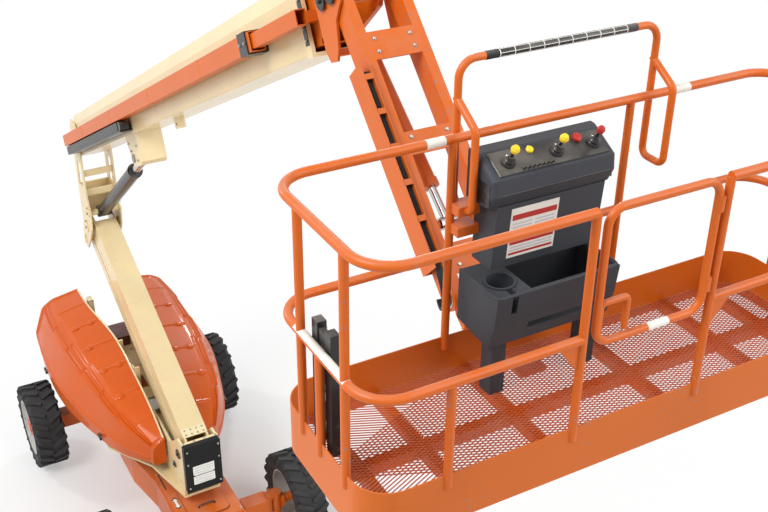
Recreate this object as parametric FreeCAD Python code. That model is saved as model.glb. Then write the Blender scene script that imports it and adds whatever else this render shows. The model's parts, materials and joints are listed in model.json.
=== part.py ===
import FreeCAD, Part
import math
import os

V = FreeCAD.Vector

# Articulating boom lift, millimetres. +X forward, +Y left, +Z up, ground at Z = 0 under the swing axis.

# Wheels and chassis
wheelbase = 2500.0
overall_width = 2460.0
tyre_radius = 490.0
tyre_width = 355.0
tyre_shoulder = 60.0
lug_height = 26.0
lug_count = 20
lug_face = 46.0
lug_slant = 28.0
rim_radius = 318.0
rim_depth = 110.0
wheel_gap = 0.5
hub_radius = 105.0
kingpin_y = 810.0
kingpin_radius = 32.0
kingpin_height = 250.0
kingpin_gap = 0.05
fork_thick = 40.0
fork_radius = 62.0
knuckle_radius = 58.0
axle_end_gap = 105.0
stub_radius = 50.0
axle_depth = 170.0
frame_half = 430.0
frame_nose_half = 330.0
frame_rear = 1560.0
frame_front = 1640.0
frame_bottom = 500.0
frame_top = 850.0
frame_wall = 50.0
taper_start = 250.0
taper_end = 760.0
deck_thick = 34.0
lug_bore = 24.0
lug_thick = 22.0
lug_half = 45.0
lug_y = 220.0

# Swing bearing and turntable
bearing_radius = 470.0
bearing_bore = 380.0
bearing_height = 150.0
swing_gap = 0.3
table_plate = 30.0
table_half = 640.0
table_rear = 1560.0
table_front = 700.0
cheek_thick = 24.0
cheek_inner = 165.0
cheek_top = 1560.0
lid_rise = 168.0
cover_drop = 390.0
cover_depth = 66.0
boom_pin_x = 1250.0
boom_pin_z = 1530.0
boom_pin_radius = 42.0

# Booms: lengths between pins, angles above the horizontal at rest
lower_length = 3000.0
lower_angle = 24.5
lower_half = 124.0
lower_depth = 285.0
lower_lug_along = 800.0
lower_lug_drop = 255.0
lower_base_dx = -50.0
lower_base_dz = -360.0
link_dx = -150.0
link_dz = -235.0
link_bar = 30.0
link_depth = 110.0
link_inner = 85.0
upright_pin_dx = -59.0
upright_pin_dz = 1080.0
upright_inner = 158.0
upright_plate = 16.0
main_angle = 26.861
main_base_length = 6674.0
main_rear_overhang = 100.0
main_half = 150.0
main_depth = 440.0
boom_wall = 7.0
fly_half = 122.0
fly_depth = 372.0
fly_shown = 350.0
fly_reach = main_base_length + fly_shown
fly_length = 6200.0
nose_length = 300.0
head_dx = 100.0
head_dz = 60.0
jib_length = 1620.0
jib_angle = -45.0
jib_half = 186.0
jib_arm_width = 56.0
jib_arm_depth = 130.0

# Platform
platform_length = 2440.0
platform_width = 752.0
rail_radius = 19.0
post_radius = 17.5
rail_height = 1090.0
mid_rail_height = 575.0
toe_height = 175.0
toe_thick = 5.0
toe_drop = 55.0
floor_thick = 6.0
floor_drop = 72.0
rotator_offset = 115.0
rotator_to_rail = 277.5
corner_radius = 150.0
gate_left = -345.0
gate_right = 265.0
gate_hinge_y = 226.0
gate_gap = 15.0
guard_left = -414.0
guard_right = 560.0
guard_top = 1390.0
guard_low = 800.0
guard_knee = 1150.0
guard_reach = 100.0
console_left = -390.0
console_right = 205.0
console_low = 560.0
console_top = 1045.0
console_depth = 193.0
tray_low = 250.0
tray_top = 505.0

# Cylinders: tube and rod radii, eye widths, rod shown at rest, and room to retract
lower_tube = 55.0
lower_rod = 34.0
main_tube = 68.0
main_rod = 42.0
jib_tube = 38.0
jib_rod = 22.0
lower_eye_width = 76.0
main_eye_width = 150.0
lower_shown = 240.0
main_shown = 560.0
jib_shown = 200.0
lower_retract = 165.0
main_retract = 345.0
jib_retract = 90.0
gland_length = 40.0
eye_side_gap = 6.0
lower_cyl_pin = 30.0
main_cyl_pin = 34.0
jib_cyl_pin = 20.0

wheel_y = overall_width / 2 - tyre_width / 2
axle_x = wheelbase / 2
hub_start = overall_width / 2 - rim_depth + 8


def radians(angle):
    return math.radians(angle)


def box(x0, x1, y0, y1, z0, z1):
    """A block between two corners."""
    return Part.makeBox(x1 - x0, y1 - y0, z1 - z0, V(x0, y0, z0))


def rod(start, direction, radius, length):
    """A round bar."""
    return Part.makeCylinder(radius, length, V(*start), V(*direction))


def cross_rod(x, z, radius, half):
    """A round bar across the machine, centred on the middle plane."""
    return rod((x, -half, z), (0, 1, 0), radius, 2 * half)


def side_plate(points, y0, y1):
    """A plate in the XZ plane, from y0 to y1."""
    wire = Part.makePolygon([V(x, y0, z) for x, z in points] + [V(points[0][0], y0, points[0][1])])
    return Part.Face(wire).extrude(V(0, y1 - y0, 0))


def flat_plate(points, z0, z1):
    """A plate in the XY plane, from z0 to z1."""
    wire = Part.makePolygon([V(x, y, z0) for x, y in points] + [V(points[0][0], points[0][1], z0)])
    return Part.Face(wire).extrude(V(0, 0, z1 - z0))


def both_sides(shape):
    """A shape and its mirror image across the middle plane."""
    return [shape, shape.mirror(V(0, 0, 0), V(0, 1, 0))]


def fuse(shapes):
    """One body from several that touch."""
    result = shapes[0].multiFuse(shapes[1:]) if len(shapes) > 1 else shapes[0]
    return result.removeSplitter()


def place(shape, pivot, pitch):
    """Turn a shape about the Y axis through the origin, +X end up, and carry it to the pivot (x, z)."""
    copy = shape.copy()
    copy.rotate(V(0, 0, 0), V(0, -1, 0), pitch)
    copy.translate(V(pivot[0], 0, pivot[1]))
    return copy


def along(pivot, pitch, x, z):
    """The (x, z) of a point given in a boom's own axes."""
    c, s = math.cos(radians(pitch)), math.sin(radians(pitch))
    return (pivot[0] + x * c - z * s, pivot[1] + x * s + z * c)


def hollow_box(x0, x1, half, z0, z1, wall):
    """A rectangular tube along X."""
    return box(x0, x1, -half, half, z0, z1).cut(
        box(x0 - 1, x1 + 1, -half + wall, half - wall, z0 + wall, z1 - wall))


def tube_path(points, radius, bend, wall, closed=False):
    """A round tube along straight runs joined by arcs of one bend radius."""
    count = len(points)
    corners = range(count) if closed else range(1, count - 1)
    cuts = {}
    for i in corners:
        here, before, after = points[i], points[i - 1], points[(i + 1) % count]
        back = (before - here).normalize()
        ahead = (after - here).normalize()
        turn = math.pi - back.getAngle(ahead)
        reach = bend * math.tan(turn / 2)
        middle = (back + ahead).normalize() * (bend / math.cos(turn / 2) - bend)
        cuts[i] = (here + back * reach, here + middle, here + ahead * reach)
    edges = []
    order = list(range(count)) + ([0] if closed else [])
    for i, j in zip(order[:-1], order[1:]):
        start = cuts[i][2] if i in cuts else points[i]
        end = cuts[j][0] if j in cuts else points[j]
        if (end - start).Length > 0.01:
            edges.append(Part.LineSegment(start, end).toShape())
        if j in cuts:
            edges.append(Part.Arc(*cuts[j]).toShape())
    path = Part.Wire(edges)
    start = edges[0].valueAt(edges[0].FirstParameter)
    heading = edges[0].tangentAt(edges[0].FirstParameter)
    outer = Part.Wire(Part.makeCircle(radius, start, heading))
    tube = path.makePipeShell([outer], True, True)
    if wall:
        inner = Part.Wire(Part.makeCircle(radius - wall, start, heading))
        tube = tube.cut(path.makePipeShell([inner], True, True))
    return tube


def cylinder_pair(base, tip, tube_radius, rod_radius, width, shown, pin, retract):
    """Barrel and rod of a cylinder between two pins (x, z), with room for the rod to retract."""
    length = math.hypot(tip[0] - base[0], tip[1] - base[1])
    pitch = math.degrees(math.atan2(tip[1] - base[1], tip[0] - base[0]))
    eye = tube_radius * 0.95
    stop = length - shown
    barrel = fuse([cross_rod(0, 0, eye, width / 2),
                   rod((eye * 0.6, 0, 0), (1, 0, 0), tube_radius, stop - eye * 0.6),
                   rod((stop - gland_length, 0, 0), (1, 0, 0), tube_radius + 6, gland_length)])
    barrel = barrel.cut(rod((eye * 1.3, 0, 0), (1, 0, 0), rod_radius + 0.3, stop))
    barrel = barrel.cut(cross_rod(0, 0, pin + kingpin_gap, width))
    inner = eye * 1.6 + retract
    piston = fuse([rod((inner, 0, 0), (1, 0, 0), rod_radius, length - inner - rod_radius * 0.5),
                   cross_rod(length, 0, rod_radius * 1.5, width / 2)])
    return place(barrel, base, pitch), place(piston, base, pitch)


nodes = {}

lower_pivot = (boom_pin_x, boom_pin_z)
lower_pitch = -lower_angle
elbow = along(lower_pivot, lower_pitch, -lower_length, 0)
link_base = (boom_pin_x + link_dx, boom_pin_z + link_dz)
lower_cyl_base = (boom_pin_x + lower_base_dx, boom_pin_z + lower_base_dz)
link_tip = (elbow[0] + link_dx, elbow[1] + link_dz)
main_pivot = (elbow[0] + upright_pin_dx, elbow[1] + upright_pin_dz)
fly_tip = along(main_pivot, main_angle, fly_reach, 0)
jib_pivot = (fly_tip[0] + head_dx, fly_tip[1] + head_dz)
jib_end = along(jib_pivot, jib_angle, jib_length, 0)
rotator_x = jib_end[0] + rotator_offset
floor_z = jib_end[1] - floor_drop
rail_far = rotator_x + rotator_to_rail
rail_near = rail_far + platform_width


# Chassis
def frame_outline(inset):
    """Outline of the frame seen from above: full width at the rear, tapered to the nose."""
    half, nose = frame_half - inset, frame_nose_half - inset
    rear, front = -frame_rear + inset, frame_front - inset
    right = [(rear, -half), (taper_start, -half), (taper_end, -nose), (front, -nose)]
    return right + [(x, -y) for x, y in reversed(right)]


def chassis_frame():
    """Hollow frame with two lashing lugs at each end."""
    shell = flat_plate(frame_outline(0), frame_bottom, frame_top)
    inner = flat_plate(frame_outline(frame_wall), frame_bottom + frame_wall, frame_top - frame_wall)
    shell = shell.cut(inner)
    lugs = []
    low = frame_bottom + 100
    for x, sign in ((-frame_rear, -1), (frame_front, 1)):
        for y in (-lug_y, lug_y):
            x0, x1 = sorted((x - sign * 2, x + sign * 90))
            plate = box(x0, x1, y - lug_half, y + lug_half, low, low + lug_thick)
            lugs.append(plate.cut(rod((x + sign * 50, y, low - 1), (0, 0, 1), lug_bore, lug_thick + 2)))
    return fuse([shell] + lugs)


def front_deck():
    """Cover over the frame's nose, with a raised hatch and two slots."""
    start, end = taper_end - 120, frame_front - 20
    half = frame_nose_half - 15
    body = box(start, end, -half, half, frame_top + 0.3, frame_top + deck_thick)
    hatch = box(start + 420, end - 90, -205, 205, frame_top + deck_thick - 1, frame_top + deck_thick + 12)
    edges = [e for e in hatch.Edges if abs(e.tangentAt(e.FirstParameter).z) > 0.9]
    deck = fuse([body, hatch.makeFillet(55, edges)])
    for y in (-frame_nose_half + 50, frame_nose_half - 50):
        slot = box(start + 60, start + 330, y - 9, y + 9, frame_top, frame_top + deck_thick + 1)
        deck = deck.cut(slot)
    return deck


def axle(sign):
    """Axle beam with its differential; hub motors at the rear, kingpin forks at the front."""
    x = sign * axle_x
    half = kingpin_y - axle_end_gap if sign > 0 else wheel_y - 120
    beam_z = tyre_radius + (30 if sign > 0 else 0)
    beam = box(x - axle_depth / 2, x + axle_depth / 2, -half, half, beam_z - axle_depth / 2,
               min(beam_z + axle_depth / 2, frame_bottom + 115))
    pieces = [beam]
    diff = Part.makeSphere(175, V(x, 0, tyre_radius - 5))
    pieces.append(diff.common(box(x - 180, x + 180, -180, 180, 250, frame_bottom)))
    if sign < 0:
        for side in (-1, 1):
            pieces.append(rod((x, side * (half - 60), tyre_radius), (0, side, 0), 120, 110))
            stub_length = hub_start - half - wheel_gap
            pieces.append(rod((x, side * half, tyre_radius), (0, side, 0), stub_radius, stub_length))
    else:
        for side in (-1, 1):
            y = side * kingpin_y
            low, high = tyre_radius - kingpin_height / 2, tyre_radius + kingpin_height / 2
            for z0 in (high - fork_thick, low - 5):
                pieces.append(rod((x, y, z0), (0, 0, 1), fork_radius, fork_thick + 5))
            y0, y1 = sorted((y, side * (half - 10)))
            web = box(x - 55, x + 55, y0, y1, low, high)
            y0, y1 = sorted((y - side * (fork_radius + 4), y + side * 70))
            inner = box(x - 60, x + 60, y0, y1, low + fork_thick, high - fork_thick)
            pieces.append(web.cut(inner))
            pieces.append(rod((x, y, low), (0, 0, 1), kingpin_radius, kingpin_height))
    seat = box(-frame_rear, frame_front, -frame_half - 0.3, frame_half + 0.3, frame_bottom - 0.3, frame_top)
    return fuse(pieces).cut(seat)


def knuckle(side):
    """Steering knuckle round its kingpin, with the wheel's stub and the steering arm."""
    x, y = axle_x, side * kingpin_y
    half = kingpin_height / 2 - fork_thick - 1
    body = rod((x, y, tyre_radius - half), (0, 0, 1), knuckle_radius, 2 * half)
    disc = rod((x, y + side * 40, tyre_radius), (0, side, 0), half - 2, 40)
    stub_length = hub_start - kingpin_y - 70 - wheel_gap
    stub = rod((x, y + side * 70, tyre_radius), (0, side, 0), stub_radius, stub_length)
    arm = box(x - 190, x, y - 18, y + 18, tyre_radius - 20, tyre_radius + 20)
    return fuse([body, disc, stub, arm]).cut(
        rod((x, y, tyre_radius - 200), (0, 0, 1), kingpin_radius + kingpin_gap, 400))


def revolve_y(profile, x, y, z, side):
    """Revolve (offset outward, radius) points about an axle along Y."""
    points = [V(x, y + side * o, z + r) for o, r in profile]
    face = Part.Face(Part.makePolygon(points + [points[0]]))
    return face.revolve(V(x, y, z), V(0, 1, 0), 360)


def tyre(x, side):
    """Carcass with two rows of slanted lugs, half a pitch apart, that reach round the shoulders."""
    half, r, bead = tyre_width / 2, tyre_radius - lug_height, rim_radius
    wall = [(half - 48, r), (half - 8, r - tyre_shoulder), (half - 6, bead + 60), (half - 30, bead)]
    carcass = [(-y, z) for y, z in reversed(wall)] + wall
    body = revolve_y(carcass, 0, 0, 0, 1)
    envelope = Part.makeCylinder(tyre_radius, tyre_width, V(0, -half, 0), V(0, 1, 0))
    envelope = envelope.makeChamfer(22, [e for e in envelope.Edges if len(e.Vertexes) == 1])
    lugs = []
    for row in (-1, 1):
        for i in range(lug_count):
            y0, y1 = sorted((row * 12.0, row * (half + 10)))
            bar = box(-lug_face / 2, lug_face / 2, y0, y1, r - 70, tyre_radius + 10)
            bar.rotate(V(0, row * 12.0, 0), V(0, 0, 1), row * lug_slant)
            bar.rotate(V(0, 0, 0), V(0, 1, 0), (i + (row + 1) / 4) * 360 / lug_count)
            lugs.append(bar)
    lugs = Part.makeCompound(lugs).common(envelope)
    shape = body.multiFuse(lugs.Solids)
    bore = Part.makeCylinder(bead, tyre_width + 20, V(0, -half - 10, 0), V(0, 1, 0))
    shape = shape.cut(bore)
    if side < 0:
        shape = shape.mirror(V(0, 0, 0), V(0, 1, 0))
    shape.translate(V(x, side * wheel_y, tyre_radius))
    return shape


def rim(x, side):
    """Dished rim with its hub."""
    half, bead = tyre_width / 2, rim_radius
    dish, bore = half - rim_depth, stub_radius + wheel_gap
    profile = [(-half + 40, bead - 0.3), (-half + 40, bead - 22), (dish - 20, bead - 34), (dish - 20, bore),
               (dish + 10, bore), (dish + 14, 250), (half - 30, bead - 18), (half - 22, bead - 0.3)]
    body = revolve_y(profile, x, side * wheel_y, tyre_radius, side)
    hub = rod((x, side * hub_start, tyre_radius), (0, side, 0), hub_radius, 70)
    return fuse([body, hub])


def swing_bearing():
    """Slewing ring between the frame and the turntable."""
    ring = Part.makeCylinder(bearing_radius, bearing_height, V(0, 0, frame_top + 0.3))
    return ring.cut(Part.makeCylinder(bearing_bore, bearing_height + 2, V(0, 0, frame_top - 1)))


# Turntable
table_z = frame_top + 0.3 + bearing_height + swing_gap
floor_top = table_z + table_plate
cheek_outer = cheek_inner + cheek_thick


def turntable_frame():
    """Turntable floor with openings, two cheeks, the pins they carry and the hood hinges."""
    outline = [(-table_rear, -table_half), (200, -table_half), (table_front, -330),
               (boom_pin_x + 60, -cheek_outer)]
    plate = flat_plate(outline + [(x, -y) for x, y in reversed(outline)], table_z, floor_top)
    for x in (-900.0, -420.0, 560.0):
        plate = plate.cut(box(x, x + 260, -95, 95, table_z - 1, floor_top + 1))
    pin_x, pin_z = lower_pivot
    cheek = [(-table_rear, floor_top - 1), (pin_x + 60, floor_top - 1), (pin_x + 110, floor_top + 120),
             (pin_x + 110, pin_z + lid_rise), (pin_x - 30, pin_z + lid_rise), (pin_x - 110, pin_z + 90),
             (pin_x - 300, pin_z - 60), (pin_x - 560, cheek_top - 60), (-600, cheek_top),
             (-table_rear + 300, cheek_top),
             (-table_rear, cheek_top - 250)]
    cheeks = [side_plate(cheek, -cheek_outer, -cheek_inner), side_plate(cheek, cheek_inner, cheek_outer)]
    stub = rod((link_base[0], link_inner - 6, link_base[1]), (0, 1, 0), 28, cheek_outer + 14 - link_inner)
    pins = both_sides(stub) + [cross_rod(*lower_pivot, boom_pin_radius, cheek_outer + 12),
                               cross_rod(*lower_cyl_base, lower_cyl_pin, cheek_outer + 8)]
    hinges = []
    for x in hood_hinge_x:
        arm = box(x + hinge_length + 0.3, x + hinge_length + 25, cheek_inner, hood_hinge_y - 0.3,
                  cheek_top - 60, hood_hinge_z + 10)
        pin = rod((x - 6, hood_hinge_y, hood_hinge_z), (1, 0, 0), hinge_pin, hinge_length + 8)
        hinges += both_sides(fuse([arm, pin]))
    lid = box(pin_x + 80, pin_x + 110, -cheek_outer, cheek_outer, pin_z + lid_rise - 1, pin_z + lid_rise + 9)
    return fuse([plate, lid] + cheeks + pins + hinges)


def counterweight():
    """Dark plates across the rear and along both sides."""
    low = floor_top + 0.3
    rear = -table_rear - 0.3
    centre = [box(-1700, rear, -660, 660, table_z, 1150), box(-1700, rear, -330, 330, 1149, 1165)]
    sides = both_sides(fuse([box(-1700, rear, 230, 660, 1149, 1500),
                             box(rear - 1, -1330, cheek_outer + 40, 620, low, 1500)]))
    tail = [box(-1930, -1699, -640, 640, table_z, 1094), box(-1930, -1699, -205, 205, 1093, 1130),
            box(-1880, -1699, -205, 205, 1129, 1165)]
    return fuse(centre + sides + tail)


# Hood sections: x, outer edge, shoulder, shoulder height, inner edge, its height, skirt height
hood_sections = [
    (-1960.0, 840.0, 690.0, 1600.0, 290.0, 1740.0, 1110.0),
    (-1450.0, 900.0, 710.0, 1630.0, 290.0, 1785.0, 1090.0),
    (-700.0, 890.0, 700.0, 1630.0, 215.0, 1785.0, 1075.0),
    (0.0, 740.0, 610.0, 1580.0, 215.0, 1720.0, 1085.0),
    (480.0, 585.0, 500.0, 1500.0, 215.0, 1615.0, 1110.0),
    (880.0, 345.0, 290.0, 1370.0, 215.0, 1450.0, 1160.0)]
hood_hinge_y = 215.0
hood_hinge_z = 1785.0
hood_hinge_x = (-640.0, -60.0)
hinge_length = 60.0
hinge_pin = 8.0
hinge_barrel = 14.0
hood_wall = 12.0


def hood_profile(section, inset):
    """Outline of a hood at one section, from the skirt over the shoulder to the inner edge."""
    x, outer, shoulder, shoulder_z, inner, inner_z, skirt_z = section
    knee = skirt_z + 0.35 * (shoulder_z - skirt_z)
    crown = inner + 0.8 * (shoulder - inner)
    return [V(x, outer - inset, skirt_z), V(x, outer + 12 - inset, knee),
            V(x, shoulder + 45 - inset * 0.8, shoulder_z - inset * 0.6),
            V(x, crown - inset * 0.3, shoulder_z + 0.6 * (inner_z - shoulder_z) - inset),
            V(x, inner, inner_z - inset)]


def hood(side):
    """Shell of one hood through its sections, with both ends closed."""
    wires = []
    for section in hood_sections:
        ring = hood_profile(section, 0) + hood_profile(section, hood_wall)[::-1]
        wires.append(Part.makePolygon(ring + [ring[0]]))
    shell = Part.makeLoft(wires, True, True)
    ends = []
    for section, x0, x1 in ((hood_sections[0], 0, hood_wall), (hood_sections[-1], -hood_wall, 0)):
        points = hood_profile(section, 3)
        points.append(V(points[-1].x, section[4], points[0].z))
        face = Part.Face(Part.makePolygon(points + [points[0]]))
        face.translate(V(x0, 0, 0))
        ends.append(face.extrude(V(x1 - x0, 0, 0)))
    shape = shell.multiFuse(ends)
    for x in hood_hinge_x:
        bore = rod((x - 12, hood_hinge_y, hood_hinge_z), (1, 0, 0), hinge_pin + 2, hinge_length + 60)
        barrel = rod((x, hood_hinge_y, hood_hinge_z), (1, 0, 0), hinge_barrel, hinge_length)
        leaf = box(x, x + hinge_length, hood_hinge_y + 1, hood_hinge_y + 12, hood_hinge_z - 72, hood_hinge_z)
        knuckle_eye = fuse([barrel, leaf])
        start = (x - 12, hood_hinge_y, hood_hinge_z)
        pin_bore = rod(start, (1, 0, 0), hinge_pin + kingpin_gap, hinge_length + 60)
        shape = shape.cut(bore).fuse(knuckle_eye.cut(pin_bore))
    return shape if side > 0 else shape.mirror(V(0, 0, 0), V(0, 1, 0))


# Lower boom, its level link and the upright
def lower_boom():
    """Box with forked, rounded ends and a lug for its lift cylinder."""
    half_depth = lower_depth / 2
    body = hollow_box(-lower_length + 60, -70, lower_half, -half_depth, half_depth, boom_wall)
    ends = []
    for x in (0.0, -lower_length):
        near, far = (-110.0, 0.0) if x == 0 else (x, x + 110.0)
        cheek = fuse([cross_rod(x, 0, half_depth - 12, lower_half),
                      box(near, far, -lower_half, lower_half, -half_depth, half_depth)])
        ends.append(cheek.cut(box(-lower_length - 300, 300, -lower_half + 22, lower_half - 22, -400, 400)))
    slot = lower_eye_width / 2 + 3
    lug = box(-lower_lug_along - 60, -lower_lug_along + 60, -slot - 18, slot + 18, -lower_lug_drop - 28,
              -half_depth + 2)
    lug = lug.cut(box(-lower_lug_along - 70, -lower_lug_along + 70, -slot, slot, -lower_lug_drop - 40,
                      -half_depth - 5))
    heads = both_sides(rod((-lower_lug_along, slot + 4, -lower_lug_drop), (0, 1, 0), 24, 22))
    shape = fuse([body, lug] + ends + heads)
    shape = shape.cut(cross_rod(0, 0, boom_pin_radius + kingpin_gap, lower_half + 5))
    shape = shape.cut(cross_rod(-lower_length, 0, boom_pin_radius + kingpin_gap, lower_half + 5))
    return place(shape, lower_pivot, lower_pitch)


def pivot_cover():
    """Black hollow cover on the front of the turntable's cheeks, ahead of the boom's pivot."""
    pin_x, pin_z = lower_pivot
    x0, low, high = pin_x + 110.3, pin_z - cover_drop, pin_z + lid_rise + 6
    shape = box(x0, x0 + cover_depth, -cheek_outer, cheek_outer, low, high)
    shape = shape.makeFillet(14, [e for e in shape.Edges if e.CenterOfMass.x > x0 + 1])
    wall = 8
    return shape.cut(box(x0 - 1, x0 + cover_depth - wall, -cheek_outer + wall, cheek_outer - wall, low + wall,
                         high - wall))


def timing_link():
    """Two parallel bars under the lower boom that keep the upright level."""
    length = lower_length
    bars = []
    for sign in (-1, 1):
        y0, y1 = sorted((sign * link_inner, sign * (link_inner + link_bar)))
        eyes = [rod((x, y0, 0), (0, 1, 0), link_depth / 2, y1 - y0) for x in (0, -length)]
        bars.append(fuse([box(-length, 0, y0, y1, -link_depth / 2, link_depth / 2)] + eyes))
    low = -link_depth / 2
    ties = [box(x, x + 60, -link_inner - 1, link_inner + 1, low, low + 14) for x in (-2700.0, -2000.0)]
    shape = fuse(bars + ties)
    for x in (0, -length):
        shape = shape.cut(cross_rod(x, 0, 28 + kingpin_gap, 200))
    return place(shape, link_base, lower_pitch)


main_cyl_seat = (150.0, 240.0)


def upright():
    """Two side plates with windows, tied by plates and pins, that carry the main boom."""
    cx, cz = upright_pin_dx, upright_pin_dz
    outline = [(-215, -170), (-215, -290), (-90, -310), (100, -90), (200, 60), (230, 260), (160, 420),
               (130, 760), (125, cz + 90), (30, cz + 170), (-120, cz + 175), (-165, cz + 90), (-160, 500),
               (-150, 60)]
    outer = upright_inner + upright_plate
    plate = side_plate(outline, upright_inner, outer)
    window = side_plate([(-90, 500), (60, 500), (50, 800), (-80, 800)], upright_inner - 5, outer + 5)
    plates = both_sides(plate.cut(window))
    rear = box(-158, -138, -upright_inner - 1, upright_inner + 1, 120, 480)
    front = [box(88, 110, -upright_inner - 1, upright_inner + 1, z, z + 70) for z in (430.0, 660.0)]
    shelf = box(-60, 60, -upright_inner - 1, upright_inner + 1, 395, 425)
    pins = [cross_rod(0, 0, boom_pin_radius, outer + 6), cross_rod(link_dx, link_dz, 28, outer + 6),
            cross_rod(cx, cz, boom_pin_radius, outer + 6), cross_rod(*main_cyl_seat, main_cyl_pin, outer + 6)]
    shape = fuse(plates + front + [rear, shelf] + pins)
    return place(shape, elbow, 0)


# Main boom, fly boom and what they carry
def boom_section(x0, x1, half, depth, wall, chamfer):
    """A hollow boom with its two upper corners cut off at a slant."""
    def profile(x, inset):
        h, d, c = half - inset, depth / 2 - inset, chamfer
        pts = [(-h, -d), (h, -d), (h, d - 2 * c), (h - c, d), (c - h, d), (-h, d - 2 * c)]
        return Part.Face(Part.makePolygon([V(x, y, z) for y, z in pts + pts[:1]]))
    outer = profile(x0, 0).extrude(V(x1 - x0, 0, 0))
    return outer.cut(profile(x0 - 1, wall).extrude(V(x1 - x0 + 2, 0, 0)))


bracket_x = 2150.0
bracket_z = -430.0
bracket_reach = 235.0
lug_x = 3414.0
collar_length = 70.0


def main_boom():
    """Outer boom with its front collar, the lift bracket under it and a lug with a hole."""
    body = boom_section(-main_rear_overhang, main_base_length, main_half, main_depth, boom_wall, 52)
    collar = boom_section(main_base_length - collar_length, main_base_length, main_half + 16, main_depth + 32,
                          17, 52)
    low = -main_depth / 2 + 2
    outline = [(bracket_x - 150, low), (bracket_x - 75, bracket_z - 30), (bracket_x - 40, bracket_z - 72),
               (bracket_x + 190, bracket_z - 80), (bracket_x + bracket_reach, bracket_z - 50),
               (bracket_x + bracket_reach + 20, low)]
    cheeks = both_sides(side_plate(outline, main_half - 52, main_half - 32))
    reach, top = bracket_reach, low - bracket_z
    bottom = [(100, -77), (190, -79), (reach - 1, -50), (reach + 18, top), (reach + 4, top), (reach - 14, -44),
              (184, -64), (100, -62)]
    front = side_plate([(bracket_x + x, bracket_z + z) for x, z in bottom], -main_half + 40, main_half - 40)
    stubs = both_sides(rod((bracket_x, 75 + eye_side_gap, bracket_z), (0, 1, 0), 34, main_half - 125 + 2))
    lug = box(lug_x - 50, lug_x + 50, -30, 30, -main_depth / 2 - 85, -main_depth / 2 + 2)
    lug = lug.cut(cross_rod(lug_x, -main_depth / 2 - 48, 16, 60))
    shape = fuse([body, collar] + cheeks + stubs + [front, lug])
    shape = shape.cut(cross_rod(0, 0, boom_pin_radius + kingpin_gap, main_half + 5))
    return place(shape, main_pivot, main_angle)


tube_y0 = -main_half - 32
tube_width = 92.0
tube_depth = 118.0
tube_low = -88.0
tube_end = main_base_length - 600
clamp_x = main_base_length - 770
clamp_length = 130.0
track_end = 2450.0


def cable_tube():
    """Orange tube along the boom's right side, on three ties."""
    y0, y1 = tube_y0 - tube_width, tube_y0
    top = tube_low + tube_depth
    wall = 5.0
    shape = box(-60, tube_end, y0, y1, tube_low, top)
    shape = shape.cut(box(-65, tube_end + 5, y0 + wall, y1 - wall, tube_low + wall, top - wall))
    ties = [box(x, x + 70, tube_y0 - 1, -main_half - 0.3, tube_low + 20, tube_low + tube_depth - 20)
            for x in (300.0, 3200.0, 5700.0)]
    return place(fuse([shape] + ties), main_pivot, main_angle)


def tube_clamp():
    """The black clamp that holds the cable tube near the boom's front end."""
    grip = 10.0
    low, top = tube_low - grip, tube_low + tube_depth + grip
    shape = box(clamp_x, clamp_x + clamp_length, tube_y0 - tube_width - grip, -main_half - 0.3, low, top)
    hole = box(clamp_x - 1, clamp_x + clamp_length + 1, tube_y0 - tube_width - 0.3, tube_y0 + 0.3,
               tube_low - 0.3, tube_low + tube_depth + 0.3)
    return place(shape.cut(hole), main_pivot, main_angle)


def carrier_tube():
    """Tube that slides in the cable tube and is held on the fly boom."""
    start, end, side_gap, wall = 900.0, main_base_length + 100, 14.0, 5.0
    y0, y1 = tube_y0 - tube_width + side_gap, tube_y0 - side_gap
    low, top = tube_low + side_gap + 2, tube_low + tube_depth - side_gap - 2
    shape = box(start, end, y0, y1, low, top)
    shape = shape.cut(box(start - 5, end + 5, y0 + wall, y1 - wall, low + wall, top - wall))
    foot = box(end - 80, end, y1 - 1, -fly_half - 0.3, low + side_gap, top - side_gap)
    return place(fuse([shape, foot]), main_pivot, main_angle)


def power_track():
    """Cable chain on its shelf beside the boom's rear end."""
    y1 = tube_y0
    top = tube_low - 12
    shelf = box(200, track_end + 20, y1 - 84, -main_half - 0.3, top - 96, top - 84)
    chain = box(-40, track_end, y1 - 80, y1, top - 84.5, top)
    loop = rod((track_end, y1 - 80, top - 42), (0, 1, 0), 42, 80)
    return place(fuse([shelf, chain, loop]), main_pivot, main_angle)


def fly_boom():
    """Inner boom with wear pads at its rear and two nose cheeks for the jib head."""
    rear = fly_reach - 60 - fly_length
    body = boom_section(rear, fly_reach - nose_length, fly_half, fly_depth, 6, 40)
    front = fly_reach - nose_length - 40
    nose = [(front, -fly_depth / 2 + 20), (fly_reach + 10, -70), (fly_reach + 60, 0), (fly_reach + 10, 70),
            (front, fly_depth / 2 - 90)]
    cheeks = both_sides(side_plate(nose, fly_half - 28, fly_half))
    pads = []
    gap = main_half - boom_wall - fly_half
    for x in (rear + 40, rear + 420):
        pads.append(box(x, x + 120, -fly_half - gap + 0.5, -fly_half + 1, -60, 60))
        pads.append(box(x, x + 120, fly_half - 1, fly_half + gap - 0.5, -60, 60))
    shape = fuse([body] + cheeks + pads)
    shape = shape.cut(cross_rod(fly_reach, 0, 34 + kingpin_gap, 300))
    return place(shape, main_pivot, main_angle)


jib_cyl_base = (10.0, -305.0)
jib_cyl_along = 1250.0
jib_cyl_drop = -80.0
jib_cyl_eye = 45.0
tray_start = 420.0
tray_end = 1480.0
tray_reach = 52.0

# Cross plates of the jib: start along it, length
jib_plates = [(260.0, 150.0), (800.0, 120.0), (1380.0, 150.0)]


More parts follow.
